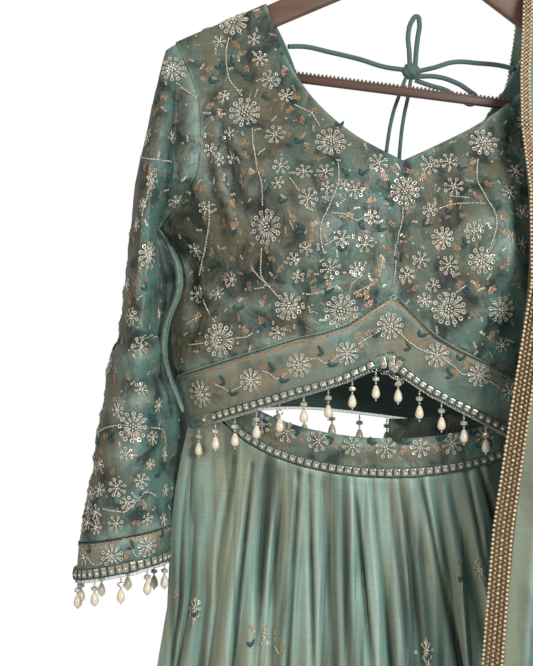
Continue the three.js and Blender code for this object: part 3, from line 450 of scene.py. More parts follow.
# A face with less than this share of its normal along the way out is on neither side.
FACING = 0.15


def vertex_places(piece):
    """The places of a piece's vertices, one in each row."""
    places = np.empty(len(piece.data.vertices) * 3)
    piece.data.vertices.foreach_get("co", places)
    return places.reshape(-1, 3)


def facing_out(piece, outwards):
    """How far each face of a piece is turned outwards, from -1 to 1."""
    middles = np.array([face.center for face in piece.data.polygons])
    normals = np.array([face.normal for face in piece.data.polygons])
    return np.einsum("ij,ij->i", outwards(middles), normals)


def outer_face(piece, outwards):
    """A tree of the faces on the outside of a piece, to lay beads on or to walk along."""
    return BVHTree.FromPolygons(vertex_places(piece).tolist(), [
        tuple(face.vertices) for face, out in zip(piece.data.polygons, facing_out(piece, outwards))
        if out > FACING])


def lined(piece, outwards):
    """Gives the faces on the inside of a cloth the dark lining, whose dark tone is partly painted shade
    for the inside of the cloth.
    """
    piece.data.materials.append(LINING_AND_SHADE_SILK)
    inside = facing_out(piece, outwards) < -FACING
    piece.data.polygons.foreach_set("material_index", inside.astype(np.int32))


SEAM_REACH = 0.014


def sewn_edge(names):
    """How free a point is to move: 0 where it is sewn to these solids, 1 from a reach away."""
    meshes = [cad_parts[name].data for name in names]
    trees = [BVHTree.FromPolygons([vertex.co for vertex in mesh.vertices],
                                  [face.vertices for face in mesh.polygons]) for mesh in meshes]

    def freedom(point):
        gap = min(tree.find_nearest(point)[3] for tree in trees) / SEAM_REACH
        return min(gap, 1.0) ** 2 * (3 - 2 * min(gap, 1.0))
    return freedom


# A fold fades over its first and last parts, but not to nothing. Puckers are noise of three
# sizes: how many times finer each is, and how strong.
FOLD_ENDS = (0.06, 0.94)
PUCKERS = [(1.0, 1.0), (2.3, 0.5), (5.0, 0.25)]


def drape(piece, outwards, pucker, folds=(), pucker_size=0.03, seed=0.0, sewn_to=()):
    """Presses folds into a cloth and puckers it all over. A fold runs from one pixel of the
    picture to another, is half as wide as its third value in millimetres, and its last value is
    how far it stands out, or in if less than 0. Both faces of the cloth move together, and they
    stay in place where the cloth is sewn to another piece."""
    places = vertex_places(piece)
    shift = np.zeros(len(places))
    for (x0, y0), (x1, y1), half, out in folds:
        start = np.array(in_picture(x0, y0).xz)
        line = np.array(in_picture(x1, y1).xz) - start
        away = places[:, [0, 2]] - start
        share = np.clip(away @ line / (line @ line), 0, 1)
        distance = np.linalg.norm(away - share[:, None] * line, axis=1) * 1000
        ends = np.sin(pi * np.clip(share, *FOLD_ENDS)) ** 0.5
        shift += out / 1000 * ends * np.exp(-(distance / half) ** 2)
    for number, place in enumerate(places):
        spot = Vector((place[0], place[1] * 0.3 + seed, place[2])) / pucker_size
        shift[number] += pucker * sum(strong * noise.noise(spot * fine) for fine, strong in PUCKERS)
    if sewn_to:
        freedom = sewn_edge(sewn_to)
        shift *= [freedom(Vector(place)) for place in places]
    moved = places + outwards(places) * shift[:, None]
    piece.data.vertices.foreach_set("co", moved.ravel())
    piece.data.update()


# Here and in each silk below, the third colour is painted shade for the creases and the fourth a painted
# highlight for the ridges.
CHOLI_SILK = silk("choli silk", "#53766d", "#69644f", "#15211f", "#8fa292", crumple=0.7, depth=0.85)
FRONT_FOLDS = [
    ((222, 118), (240, 205), 5, -6), ((232, 130), (250, 195), 4, 4), ((212, 150), (236, 250), 6, 5),
    ((205, 130), (224, 232), 5, -5), ((262, 215), (300, 255), 6, -3), ((302, 255), (300, 335), 2.2, -2.6),
    ((240, 300), (330, 330), 6, 3), ((236, 316), (300, 340), 5, -3), ((345, 330), (392, 300), 5, 3),
    ((300, 285), (372, 262), 7, -3), ((352, 250), (390, 232), 6, 3), ((410, 300), (440, 318), 5, 3),
    ((400, 205), (395, 290), 6, -3.5), ((384, 200), (378, 290), 6, 3), ((452, 232), (500, 215), 8, 3),
    ((440, 270), (486, 288), 6, -3), ((485, 318), (486, 345), 2.2, -2.4), ((300, 150), (250, 170), 7, 3),
    ((350, 175), (395, 195), 7, -3), ((270, 60), (300, 110), 6, -2), ((200, 268), (262, 300), 7, -4),
    ((196, 286), (250, 322), 6, 3), ((188, 240), (200, 330), 5, -4), ((512, 205), (526, 290), 7, -5),
    ((500, 200), (512, 290), 6, 4), ((420, 335), (500, 372), 5, 2.4), ((330, 352), (200, 372), 5, 2.4),
]
BACK_FOLDS = [
    ((230, 120), (250, 240), 7, -5), ((262, 160), (330, 330), 8, 4), ((540, 130), (520, 250), 7, -5),
    ((250, 300), (360, 330), 8, -3), ((420, 330), (540, 300), 8, -3), ((393, 340), (390, 430), 6, 4),
    ((300, 350), (290, 430), 7, -4), ((480, 350), (492, 430), 7, -4), ((560, 260), (530, 350), 8, 4),
]
SLEEVE_FOLDS = [
    ((166, 236), (176, 300), 4, -9), ((176, 296), (165, 362), 4, -8), ((165, 355), (180, 402), 4, -7),
    ((183, 75), (176, 165), 7, -10), ((165, 110), (162, 175), 6, 4), ((196, 150), (178, 205), 6, 5),
    ((172, 196), (146, 240), 7, -5), ((150, 205), (140, 262), 6, 3), ((163, 250), (168, 360), 7, -5),
    ((126, 345), (162, 332), 6, -5), ((118, 360), (160, 352), 6, 4), ((120, 388), (166, 376), 7, -5),
    ((112, 404), (160, 398), 7, 4), ((130, 420), (170, 450), 7, -3), ((104, 446), (150, 470), 8, 3),
    ((100, 470), (140, 500), 7, -3.5), ((148, 470), (168, 520), 7, -3), ((98, 500), (160, 505), 8, 2.5),
    ((90, 515), (160, 540), 7, -2.5),
]


def across_the_set(folds, middle):
    """The same folds on the other side of a pixel column."""
    return [((2 * middle - x0, y0), (2 * middle - x1, y1), half, out)
            for (x0, y0), (x1, y1), half, out in folds]


def choli_cloth(node, outwards, material, slot_name, flat, area, **shape):
    """One cloth of the choli: draped and lined. Gives its outside, to lay beads on."""
    cloth = finer(node, node + "_silk", 2, material, slot_name)
    if shape:
        drape(cloth, outwards, **shape)
    lined(cloth, outwards)
    return outer_face(cloth, outwards)


SIDES = ["choli_front", "choli_back"]
SLEEVES = ["sleeve_left", "sleeve_right"]
FRONT_FACE, BACK_FACE, LEFT_SLEEVE_FACE, RIGHT_SLEEVE_FACE = (
    choli_cloth(node, outwards, CHOLI_SILK, "choli_silk", flat, area,
                folds=folds, pucker=pucker, seed=seed, sewn_to=sewn_to)
    for node, outwards, flat, area, folds, pucker, seed, sewn_to in [
        ("choli_front", FRONT, (0.44, 0.37), 0.105, FRONT_FOLDS, 0.0022, 0.0,
         ["choli_back", *SLEEVES, "front_band"]),
        ("choli_back", BACK, (0.44, 0.37), 0.1, BACK_FOLDS, 0.0022, 3.0,
         ["choli_front", *SLEEVES, "back_band"]),
        ("sleeve_left", LEFT_SLEEVE, (0.22, 0.46), 0.094, SLEEVE_FOLDS, 0.0024, 5.0,
         [*SIDES, "cuff_band_left"]),
        ("sleeve_right", RIGHT_SLEEVE, (0.22, 0.46), 0.095, across_the_set(SLEEVE_FOLDS, 400), 0.0024,
         7.0, [*SIDES, "cuff_band_right"])])

# The allowance of the left side seam stands out past the choli's edge and curls forward.
SEAM_EDGE = [(159, 229), (170, 243), (179, 260), (183, 280), (180, 297), (172, 313), (167, 331),
             (165, 352), (169, 373), (178, 393), (184, 412)]
SEAM_WIDTH = [2.5, 5.5, 6.5, 7, 6.5, 6, 6.5, 6, 5.5, 5, 4]  # millimetres
SEAM_DEPTH = -0.012
SEAM_TUCKED = 0.0012
SEAM_CURL = 0.0035
bpy.ops.mesh.primitive_grid_add(x_subdivisions=3, y_subdivisions=len(SEAM_EDGE) - 1, size=2)
allowance = bpy.context.object
allowance.name = "side_seam_allowance"
for vertex in allowance.data.vertices:
    stop = round((1 - vertex.co.y) / 2 * (len(SEAM_EDGE) - 1))
    out = (1 - vertex.co.x) / 2
    place = in_picture(*SEAM_EDGE[stop], SEAM_DEPTH) + Vector((SEAM_TUCKED, 0, 0))
    curl = SEAM_CURL * sin(pi * out * 0.8)
    vertex.co = place + Vector((-SEAM_WIDTH[stop] * out / 1000, -curl, 0))
changed(allowance, "SUBSURF", levels=2)
changed(allowance, "SOLIDIFY", thickness=0.0009)
bpy.ops.object.shade_smooth()
allowance.data.materials.append(CHOLI_SILK)
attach(allowance, "root")

# Bands
# A shaped band of the same silk finishes the choli's hem and each cuff. It is cut on the
# straight, so it creases less, and its top seam is covered by a thin dark cord.
BAND_SILK = silk("band silk", "#617f75", "#7f7c66", "#263531", "#9dada0", crumple=0.38, depth=0.5)
FRONT_BAND_FACE, BACK_BAND_FACE, LEFT_CUFF_FACE, RIGHT_CUFF_FACE = (
    choli_cloth(node, outwards, BAND_SILK, "band_silk", flat, area, **shape)
    for node, outwards, flat, area, shape in [
        ("front_band", FRONT, (0.42, 0.075), 0.0205, {"pucker": 0.0009, "pucker_size": 0.05}),
        ("back_band", BACK, (0.42, 0.075), 0.0186, {"pucker": 0.0009, "pucker_size": 0.05, "seed": 2.0}),
        ("cuff_band_left", LEFT_SLEEVE, (0.2, 0.045), 0.0079, {}),
        ("cuff_band_right", RIGHT_SLEEVE, (0.2, 0.045), 0.0076, {})])
finer("band_piping", "band_piping_cord", 2, BAND_SILK, "dark_silk")


# Beadwork
# Silver bugle beads, seed beads, rings of silver and old gold, and padded leaves of dark thread
# are sewn through the silk. A large flower has petals of two bugles with a ring at the tip.
def bead_shape():
    """Keeps the primitive just made as the shape of a bead, its points and its faces."""
    shape = bpy.context.object
    bpy.ops.object.transform_apply(location=True, rotation=True, scale=True)
    kept = vertex_places(shape), [tuple(face.vertices) for face in shape.data.polygons]
    bpy.data.objects.remove(shape)
    return kept


bpy.ops.mesh.primitive_cylinder_add(vertices=5, radius=0.5, depth=1, rotation=(0, pi / 2, 0))
BUGLE = bead_shape()
bpy.ops.mesh.primitive_uv_sphere_add(segments=6, ring_count=4, radius=0.5)
SEED = bead_shape()
bpy.ops.mesh.primitive_uv_sphere_add(segments=4, ring_count=2, radius=0.5)
STITCH = bead_shape()
bpy.ops.mesh.primitive_torus_add(major_segments=7, minor_segments=3, major_radius=0.33,
                                 minor_radius=0.18)
# A ring lies on the cloth, so it has no underside.
points, faces = bead_shape()
RING = points, [
    face for face in faces
    if np.cross(points[face[1]] - points[face[0]], points[face[2]] - points[face[0]])[2] > -0.01]
bpy.ops.mesh.primitive_uv_sphere_add(segments=8, ring_count=5, radius=0.5)
for vertex in bpy.context.object.data.vertices:
    vertex.co.y *= 1 - 3 * vertex.co.x ** 2
LEAF = bead_shape()
bpy.ops.mesh.primitive_ico_sphere_add(subdivisions=1, radius=0.5)
FACETED = bead_shape()


def beads_of(name, colour, dark, metallic, roughness, scale, **values):
    """Glass, metal or thread that is mixed of two tones, finely where scale is large."""
    material, tree, shader = surface(name, Metallic=metallic, Roughness=roughness, **values)
    mixed = shader_node(tree, "TexNoise", {"Scale": scale, "Detail": 2.0})["Fac"]
    two_toned(tree, shader, ranged(tree, mixed, 0.36, 0.64), dark, colour)
    bumped(tree, shader, mixed, 0.15, 0.0003)
    return material


BEADS = {
    "bugle": (BUGLE, beads_of("silver bugles", "#f3ecda", "#8f8a79", 0.25, 0.16, 400.0)),
    "seed": (SEED, beads_of("white seeds", "#f6f1e6", "#c3bba9", 0.1, 0.22, 400.0)),
    "ring": (RING, beads_of("silver rings", "#f6eedb", "#96907e", 0.3, 0.18, 300.0)),
    "gold": (RING, beads_of("gold rings", "#e2bd96", "#74573d", 0.35, 0.26, 420.0)),
    "leaf": (LEAF, beads_of("leaf thread", "#37595a", "#1d3637", 0.0, 0.5, 900.0)),
}


def sew(name, shape, stitches, material, smooth=True):
    """One mesh with a bead at each stitch, which is its place, way along, way out and size."""
    points, faces = shape
    placed_points = []
    for place, along, out, size in stitches:
        along = (along - out * along.dot(out)).normalized()
        turn = np.array((along, out.cross(along), out))
        placed_points.append((points * size) @ turn + place)
    count = len(points)
    corners = [tuple(corner + number * count for corner in face)
               for number in range(len(stitches)) for face in faces]
    mesh = bpy.data.meshes.new(name)
    mesh.from_pydata(np.concatenate(placed_points).tolist(), [], corners)
    if smooth:
        mesh.shade_smooth()
    mesh.materials.append(material)
    piece = bpy.data.objects.new(name, mesh)
    bpy.context.collection.objects.link(piece)
    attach(piece, "root")
    return piece


# Bead sizes are along, across and high, in millimetres.
PETAL_WIDE = 1.15
HEART = (2.3, 2.3, 2.0)
INNER_SEED = (2.0, 2.0, 1.8)
SPRIG_RING = (2.3, 2.3, 1.2)
STEM_BUGLE = (2.0, 1.45, 1.3)
LOOSE_RING = (2.2, 2.2, 1.2)
LOOSE_PITCH = 2.3
LEAF_WIDE = 3.5
LEAF_HIGH = 1.4
LARGE_FLOWER = 9.5
# How far from a flower's heart its beads stand, as shares of its radius.
PETAL_MIDDLE = 0.52
PETAL_LONG = 0.42
RING_AWAY = 0.9
SEED_AWAY = 0.2
PETALS_APART = 0.1
SPRIG_RINGS = [(-3.4, 0), (-1.5, 1.2), (-1.5, -1.2), (0.7, 1.9), (0.8, -0.2), (2.6, -1.4), (3.2, 0.9)]
LEAF_PAIR = [(0, 9.4), (66, 6.8)]
# Scattered rings stand this many pitches off their rows and columns at most. The noise that
# says how far is read at steps of this length, because it is 0 at every whole number.
UNEVEN = 0.9
NOISE_STEP = 7.31
STEM_PITCH = 0.0021
STEM_STEPS = 36


class Embroidery:
    """The beads on one cloth, kept by kind until they are sewn on."""

    def __init__(self, face):
        self.face = face
        self.beads = {kind: [] for kind in BEADS}

    def centre(self, place):
        """Starts a motif at the cloth's nearest point to a place: its middle, right, up and out."""
        middle, out, _, _ = self.face.find_nearest(place)
        right = Vector((0, 0, 1)).cross(out).normalized()
        return middle, right, out.cross(right), out

    def bead(self, kind, motif, u, v, turn, size, lift=0.0):
        """Lays a bead u to the right of and v above a motif's middle, all in millimetres."""
        middle, right, up, out = motif
        guess = middle + (right * u + up * v) / 1000 + out * 0.002
        place, normal, _, _ = self.face.find_nearest(guess)
        along = right * cos(turn) + up * sin(turn)
        rise = (size[2] * 0.4 + lift) / 1000
        self.beads[kind].append((place + normal * rise, along, normal, np.array(size) / 1000))

    def flower(self, place, radius, turn):
        """A flower of this radius: a large one has double petals, a small one single ones."""
        motif = self.centre(place)
        large = radius >= LARGE_FLOWER
        petals = round(radius * 0.45 + (6 if large else 4))
        tip = 0.16 * radius + 2.1
        for number in range(petals):
            angle = turn + 2 * pi * number / petals
            u, v = radius * cos(angle), radius * sin(angle)
            for apart in (-PETALS_APART, PETALS_APART) if large else (0.0,):
                self.bead("bugle", motif, PETAL_MIDDLE * radius * cos(angle + apart),
                          PETAL_MIDDLE * radius * sin(angle + apart), angle + 0.7 * apart,
                          (PETAL_LONG * radius, PETAL_WIDE, PETAL_WIDE))
            self.bead("ring", motif, RING_AWAY * u, RING_AWAY * v, angle, (tip, tip, 1.3), 0.3)
            if number % 2 == 0:
                self.bead("seed", motif, SEED_AWAY * u, SEED_AWAY * v, angle, INNER_SEED, 0.4)
        self.bead("seed" if large else "gold", motif, 0, 0, 0, HEART, 0.8)

    def sprig(self, place, turn):
        """A leaf-shaped cluster of gold rings."""
        motif = self.centre(place)
        for u, v in SPRIG_RINGS:
            self.bead("gold", motif, u * cos(turn) - v * sin(turn), u * sin(turn) + v * cos(turn),
                      turn, SPRIG_RING)

    def leaf(self, place, degrees):
        """A pair of padded leaves of dark thread that grow from one place."""
        motif = self.centre(place)
        for apart, long in LEAF_PAIR:
            turn = radians(degrees + apart)
            self.bead("leaf", motif, 0.5 * long * cos(turn), 0.5 * long * sin(turn), turn,
                      (long, LEAF_WIDE, LEAF_HIGH))

    def stem(self, places):
        """A smooth line of short bugles through these places."""
        knots = [places[0], *places, places[-1]]
        line = []
        for a, b, c, d in zip(knots, knots[1:], knots[2:], knots[3:]):
            for step in range(STEM_STEPS):
                t = step / STEM_STEPS
                line.append(0.5 * (2 * b + (c - a) * t + (2 * a - 5 * b + 4 * c - d) * t * t
                                   + (3 * b - a - 3 * c + d) * t ** 3))
        walked = 0.0
        for here, ahead in zip(line, line[1:]):
            walked += (ahead - here).length
            if walked > STEM_PITCH:
                walked = 0.0
                motif = self.centre(here)
                way = ahead - here
                turn = np.arctan2(way.dot(motif[2]), way.dot(motif[1]))
                self.bead("bugle", motif, 0, 0, turn, STEM_BUGLE)

    def scatter(self, find, first, last, pitch):
        """Sews on one to three rings in a line, unevenly, between two corners given in pixels."""
        for row in range(round((last[1] - first[1]) / pitch)):
            for column in range(round((last[0] - first[0]) / pitch)):
                spot = Vector((column, row, 0.5)) * NOISE_STEP
                other = spot + Vector((0, 0, 3))
                place = find(first[0] + pitch * (column + UNEVEN * noise.noise(spot)),
                             first[1] + pitch * (row + UNEVEN * noise.noise(other)))
                if not place:
                    continue
                motif = self.centre(place)
                kind = "gold" if (3 * row + 5 * column) % 7 < 3 else "ring"
                turn = 1.3 * column + 0.7 * row
                for step in range(1 + (row + column) % 3):
                    away = LOOSE_PITCH * step
                    self.bead(kind, motif, away * cos(turn), away * sin(turn), turn, LOOSE_RING)

    def sew_on(self, name):
        """Makes one mesh of each kind of bead."""
        for kind, (shape, material) in BEADS.items():
            if self.beads[kind]:
                sew(name + "_" + kind, shape, self.beads[kind], material)


def shown(face):
    """Finds the point of a cloth that shows at a pixel of the picture, if there is one."""
    def find(across, down):
        return face.ray_cast(EYE, (in_picture(across, down) - EYE).normalized())[0]
    return find


# The drop at which a sleeve begins to swing out.
SWING_FROM = 0.33


def hidden(face, depth, columns=(-999, 1999), mirror=None, swing=0.0, limit=0.045):
    """Finds the point of a cloth behind or beside a pixel: at a depth, in some pixel columns,
    mirrored about one column, and swung out as the drop grows."""
    def find(across, down):
        if mirror:
            across = 2 * mirror - across
        if not columns[0] < across < columns[1]:
            return None
        place = in_picture(across, down, depth)
        place.x += swing * max(0.0, -place.z - SWING_FROM)
        found, _, _, gap = face.find_nearest(place)
        return found if found is not None and gap < limit else None
    return find


def on_cloth(find, spots):
    """The spots that are on a cloth: the number, the place and what else is said of each."""
    for number, (across, down, *more) in enumerate(spots):
        place = find(across, down)
        if place:
            yield number, place, *more


def embroider(name, face, finds, flowers, sprigs, leaves, stems=(), scattered=None):
    """Embroiders one cloth with motifs given by pixels, wherever each find says that they are.
    Single rings are scattered only where the first find says."""
    work = Embroidery(face)
    for find in finds:
        for number, place, radius in on_cloth(find, flowers):
            work.flower(place, radius, turn=0.3 * number)
        for number, place in on_cloth(find, sprigs):
            work.sprig(place, turn=1.1 * number)
        for _, place, degrees in on_cloth(find, leaves):
            work.leaf(place, degrees)
        for stem in stems:
            places = [find(*pixel) for pixel in stem]
            if None not in places:
                work.stem(places)
    if scattered:
        work.scatter(finds[0], *scattered)
    work.sew_on(name)


FRONT_FLOWERS = [
    (233, 20, 13.5), (245, 113, 13.5), (331, 142, 13.5), (483, 143, 12), (405, 191, 12.5),
    (266, 227, 15), (289, 306, 12), (341, 311, 14.5), (219, 340, 14.5), (449, 309, 14.5),
    (501, 310, 11.5), (482, 261, 11.5), (443, 238, 9.5), (270, 80, 8.5), (275, 135, 8.5),
    (308, 198, 8.5), (354, 190, 8), (378, 163, 8), (430, 166, 8), (449, 162, 7.5), (454, 187, 8.5),
    (509, 193, 7), (330, 268, 9), (407, 275, 7), (421, 260, 7), (449, 265, 8), (474, 231, 8),
    (430, 210, 6), (516, 172, 7), (281, 166, 7), (304, 172, 7), (325, 172, 7), (260, 59, 6.5),
    (254, 40, 5.5), (342, 239, 7), (365, 244, 7.5), (371, 217, 6), (306, 248, 5.5), (294, 259, 5.5),
    (356, 269, 6), (297, 276, 5.5), (278, 333, 6), (218, 294, 6.5), (198, 294, 7), (232, 279, 6),
    (522, 212, 6), (521, 243, 5.5), (424, 301, 6), (434, 285, 5.5), (219, 42, 5.5), (224, 96, 5),
    (230, 134, 5.5), (192, 164, 6), (211, 150, 5.5), (219, 160, 5.5), (233, 158, 5), (278, 183, 5.5),
    (327, 188, 5.5), (286, 96, 6), (343, 185, 5.5), (502, 345, 6), (205, 208, 5.5), (196, 250, 6),
]
FRONT_SPRIGS = [
    (206, 29), (258, 14), (237, 45), (242, 53), (246, 70), (203, 79), (209, 69), (284, 72), (297, 97),
    (290, 110), (302, 120), (315, 111), (210, 106), (220, 113), (287, 134), (302, 136), (306, 148),
    (316, 159), (242, 143), (246, 155), (252, 172), (241, 179), (262, 172), (203, 188), (223, 177),
    (232, 204), (235, 224), (225, 224), (240, 231), (252, 249), (267, 249), (232, 258), (225, 276),
    (252, 267), (272, 259), (281, 269), (250, 286), (240, 299), (264, 300), (261, 320), (288, 328),
    (309, 273), (315, 290), (313, 224), (311, 239), (293, 218), (371, 200), (367, 186), (392, 224),
    (389, 236), (383, 263), (378, 272), (374, 283), (367, 294), (358, 294), (369, 304), (329, 285),
    (349, 215), (410, 209), (394, 170), (411, 171), (422, 177), (384, 177), (468, 170), (473, 162),
    (488, 184), (464, 215), (450, 204), (479, 198), (504, 215), (439, 247), (457, 247), (504, 266),
    (513, 237), (506, 233), (492, 290), (477, 285), (475, 314), (491, 335), (188, 140), (187, 152),
    (198, 318), (246, 330), (202, 268), (212, 252), (388, 250), (416, 288), (460, 285), (517, 275),
]
FRONT_LEAVES = [
    (221, 70, 80), (233, 65, 100), (242, 76, -25), (210, 84, 20), (262, 97, -20), (244, 126, 5),
    (295, 144, 20), (220, 143, 15), (269, 194, 110), (280, 204, 30), (349, 176, 130), (362, 176, 40),
    (341, 252, 50), (358, 224, -35), (379, 232, 25), (423, 226, 5), (446, 172, 150), (460, 171, 35),
    (448, 215, 35), (468, 246, 120), (394, 202, 160), (413, 202, 25), (234, 236, 50), (295, 233, 10),
    (277, 282, 0), (264, 332, 80), (236, 311, 35), (327, 294, 45), (470, 292, 110), (495, 322, 140),
    (205, 300, 80), (213, 318, 60), (400, 262, 70), (340, 128, 60), (500, 150, 30),
]
FRONT_STEMS = [
    [(229, 37), (226, 54), (228, 75), (233, 85), (242, 96)],
    [(252, 127), (253, 143), (256, 160), (262, 185), (263, 207)],
    [(293, 104), (305, 110), (312, 114), (319, 126)],
    [(338, 162), (338, 182), (329, 206), (321, 224), (321, 240), (324, 254)],
    [(403, 206), (402, 220), (398, 236), (395, 258), (394, 286)],
    [(478, 158), (477, 179), (485, 195), (495, 213), (496, 229), (491, 245)],
    [(198, 92), (199, 112), (199, 133)], [(209, 200), (209, 224), (205, 249), (199, 276)],
    [(201, 286), (204, 301), (216, 323)], [(262, 247), (261, 272), (268, 285), (279, 297)],
    [(258, 88), (255, 97)], [(266, 148), (258, 155)], [(346, 198), (337, 206)], [(330, 213), (345, 214)],
    [(438, 209), (455, 204), (486, 204)], [(449, 196), (470, 198)], [(467, 285), (455, 293)],
    [(300, 192), (290, 178)], [(350, 285), (362, 275)], [(186, 325), (203, 314)],
    [(321, 197), (329, 201)], [(345, 214), (356, 220), (364, 217)], [(323, 246), (330, 242), (337, 238)],
    [(251, 266), (256, 273), (266, 283)], [(254, 289), (265, 287)], [(189, 345), (203, 343)],
    [(234, 338), (246, 337), (253, 333)], [(302, 294), (316, 293), (330, 288), (339, 285)],
    [(352, 294), (364, 288), (375, 283)], [(308, 312), (318, 313)], [(296, 233), (290, 221)],
]
# The pixel columns of the choli's centre lines, about which its covered side is mirrored.
FRONT_CENTRE = 393
BACK_CENTRE = 388
for name, face, finds, pitch in [
        ("front", FRONT_FACE,
         [shown(FRONT_FACE), hidden(FRONT_FACE, -0.05, (536, 999), mirror=FRONT_CENTRE)], 14),
        ("back", BACK_FACE,
         [hidden(BACK_FACE, 0.05, mirror=BACK_CENTRE), hidden(BACK_FACE, 0.05, (0, 236))], 24)]:
    embroider(name, face, finds, FRONT_FLOWERS, FRONT_SPRIGS, FRONT_LEAVES, FRONT_STEMS,
              scattered=((186, 8), (536, 372), pitch))

SLEEVE_FLOWERS = [
    (172, 69, 12), (148, 138, 8), (171, 136, 5.5), (151, 181, 7), (176, 201, 7), (137, 225, 6),
    (148, 255, 11.5), (132, 317, 8), (158, 314, 6), (140, 347, 8), (110, 365, 8), (141, 390, 6),
    (133, 427, 13.5), (101, 464, 5.5), (117, 488, 8), (100, 490, 6), (126, 454, 5.5), (164, 454, 6.5),
    (152, 438, 6), (141, 481, 6.5), (150, 464, 4.5), (165, 490, 5.5), (127, 503, 6), (89, 508, 7),
    (88, 523, 6), (116, 524, 7), (147, 519, 5), (163, 519, 5.5), (150, 95, 6), (143, 205, 6),
    (128, 285, 6), (118, 410, 6), (158, 405, 6),
]
SLEEVE_SPRIGS = [
    (163, 98), (156, 112), (145, 168), (152, 170), (160, 194), (134, 240), (136, 283), (146, 281),
    (130, 301), (127, 263), (115, 378), (115, 400), (104, 380), (128, 376), (102, 451), (113, 471),
    (144, 505), (136, 523), (136, 437), (162, 435), (106, 436), (150, 350), (122, 340), (153, 370),
]
SLEEVE_LEAVES = [
    (156, 104, 90), (146, 290, 100), (118, 345, 60), (157, 388, 40), (108, 438, -15), (158, 478, 80),
    (96, 498, -60), (136, 512, -30), (132, 268, 70), (150, 420, 30), (141, 498, 25),
]
SLEEVE_STEMS = [
    [(176, 82), (185, 90), (196, 98)], [(141, 157), (150, 159), (172, 162)],
    [(128, 352), (140, 337), (158, 338)],
    [(102, 508), (116, 511), (126, 511), (139, 498), (147, 492), (157, 497)],
    [(150, 186), (146, 200), (142, 218)], [(118, 425), (106, 428), (98, 434)],
    [(150, 427), (163, 431), (166, 446)],
]
# The pixel columns halfway between the sleeves and down the middle of the left one.
SLEEVES_CENTRE = 385
SLEEVE_MIDDLE = 134
SIDE_SHARE = 0.7


def beside(face, x):
    """Finds the point of a sleeve that is seen from its side, for a pixel of the picture."""
    def find(across, down):
        depth = (across - SLEEVE_MIDDLE) * METRES_A_PIXEL * SIDE_SHARE
        start = Vector((x, depth, in_picture(0, down + 6).z))
        return face.ray_cast(start, Vector((-x, 0, 0)))[0]
    return find


def in_the_right_sleeve(face):
    """Finds the points in front and behind of a right sleeve's cloth that mirror the left one's."""
    return [hidden(face, depth, mirror=SLEEVES_CENTRE, swing=0.42, limit=0.06) for depth in (-0.06, 0.06)]


for name, face, finds in [
        ("left_sleeve", LEFT_SLEEVE_FACE,
         [shown(LEFT_SLEEVE_FACE), hidden(LEFT_SLEEVE_FACE, 0.06), beside(LEFT_SLEEVE_FACE, -0.6)]),
        ("right_sleeve", RIGHT_SLEEVE_FACE,
         [*in_the_right_sleeve(RIGHT_SLEEVE_FACE), beside(RIGHT_SLEEVE_FACE, 0.6)])]:
    embroider(name, face, finds, SLEEVE_FLOWERS, SLEEVE_SPRIGS, SLEEVE_LEAVES, SLEEVE_STEMS,
              scattered=((90, 60), (190, 530), 15))

BAND_FLOWERS = [
    (201, 394, 12), (251, 380, 9.5), (299, 365, 10), (347, 353, 9.5), (390, 326, 11), (437, 355, 10),
    (479, 375, 9.5), (510, 392, 8),
]
BAND_SPRIGS = [
    (222, 393), (234, 382), (268, 377), (282, 372), (320, 359), (332, 357), (369, 333), (362, 343),
    (411, 338), (423, 344), (466, 365), (455, 372), (500, 386), (492, 380), (213, 382), (264, 366),
    (285, 378), (313, 352), (358, 335), (405, 346), (447, 361),
]
BAND_LEAVES = [
    (226, 383, 130), (231, 396, 25), (275, 370, 130), (281, 383, 25), (324, 354, 125), (329, 367, 20),
    (376, 338, 60), (419, 337, 20), (411, 349, 120), (460, 361, 45), (453, 376, 130), (503, 379, 40),
]
BAND_STEMS = [
    [(214, 384), (222, 387), (230, 391), (242, 386)], [(261, 371), (269, 373), (277, 379), (288, 372)],
    [(309, 359), (318, 359), (326, 363), (337, 357)], [(357, 345), (366, 339), (379, 331)],
    [(400, 333), (408, 341), (418, 348), (427, 352)], [(446, 361), (455, 367), (462, 374), (470, 374)],
    [(488, 380), (499, 387)],
]
for name, face, finds in [
        ("front_band", FRONT_BAND_FACE,
         [shown(FRONT_BAND_FACE), hidden(FRONT_BAND_FACE, -0.05, (525, 999), mirror=FRONT_CENTRE)]),
        ("back_band", BACK_BAND_FACE,
         [hidden(BACK_BAND_FACE, 0.04, mirror=BACK_CENTRE), hidden(BACK_BAND_FACE, 0.04, (0, 244))])]:
    embroider(name, face, finds, BAND_FLOWERS, BAND_SPRIGS, BAND_LEAVES, BAND_STEMS)

CUFF_FLOWERS = [(84, 557, 7), (112, 556, 10), (147, 546, 9.5), (172, 540, 6)]
CUFF_SPRIGS = [(97, 551), (127, 555), (131, 543), (160, 545), (158, 537)]
CUFF_LEAVES = [(91, 552, 110), (134, 548, 115), (163, 536, 115)]
CUFF_STEMS = [[(88, 557), (94, 565), (102, 563)], [(131, 546), (136, 556), (142, 553)]]
for name, face, finds in [
        ("left_cuff", LEFT_CUFF_FACE, [shown(LEFT_CUFF_FACE), hidden(LEFT_CUFF_FACE, 0.06)]),
        ("right_cuff", RIGHT_CUFF_FACE, in_the_right_sleeve(RIGHT_CUFF_FACE))]:
    embroider(name, face, finds, CUFF_FLOWERS, CUFF_SPRIGS, CUFF_LEAVES, CUFF_STEMS)


# Tape and piping
# A silk tape with a row of small square mirrors, each with a bead, edges the choli's hem and
# the cuffs. Dark thread is laid between the mirrors. Old-gold rings run under the piping.
# Sizes are in metres, along, across and high.
MOST_STOPS = 900


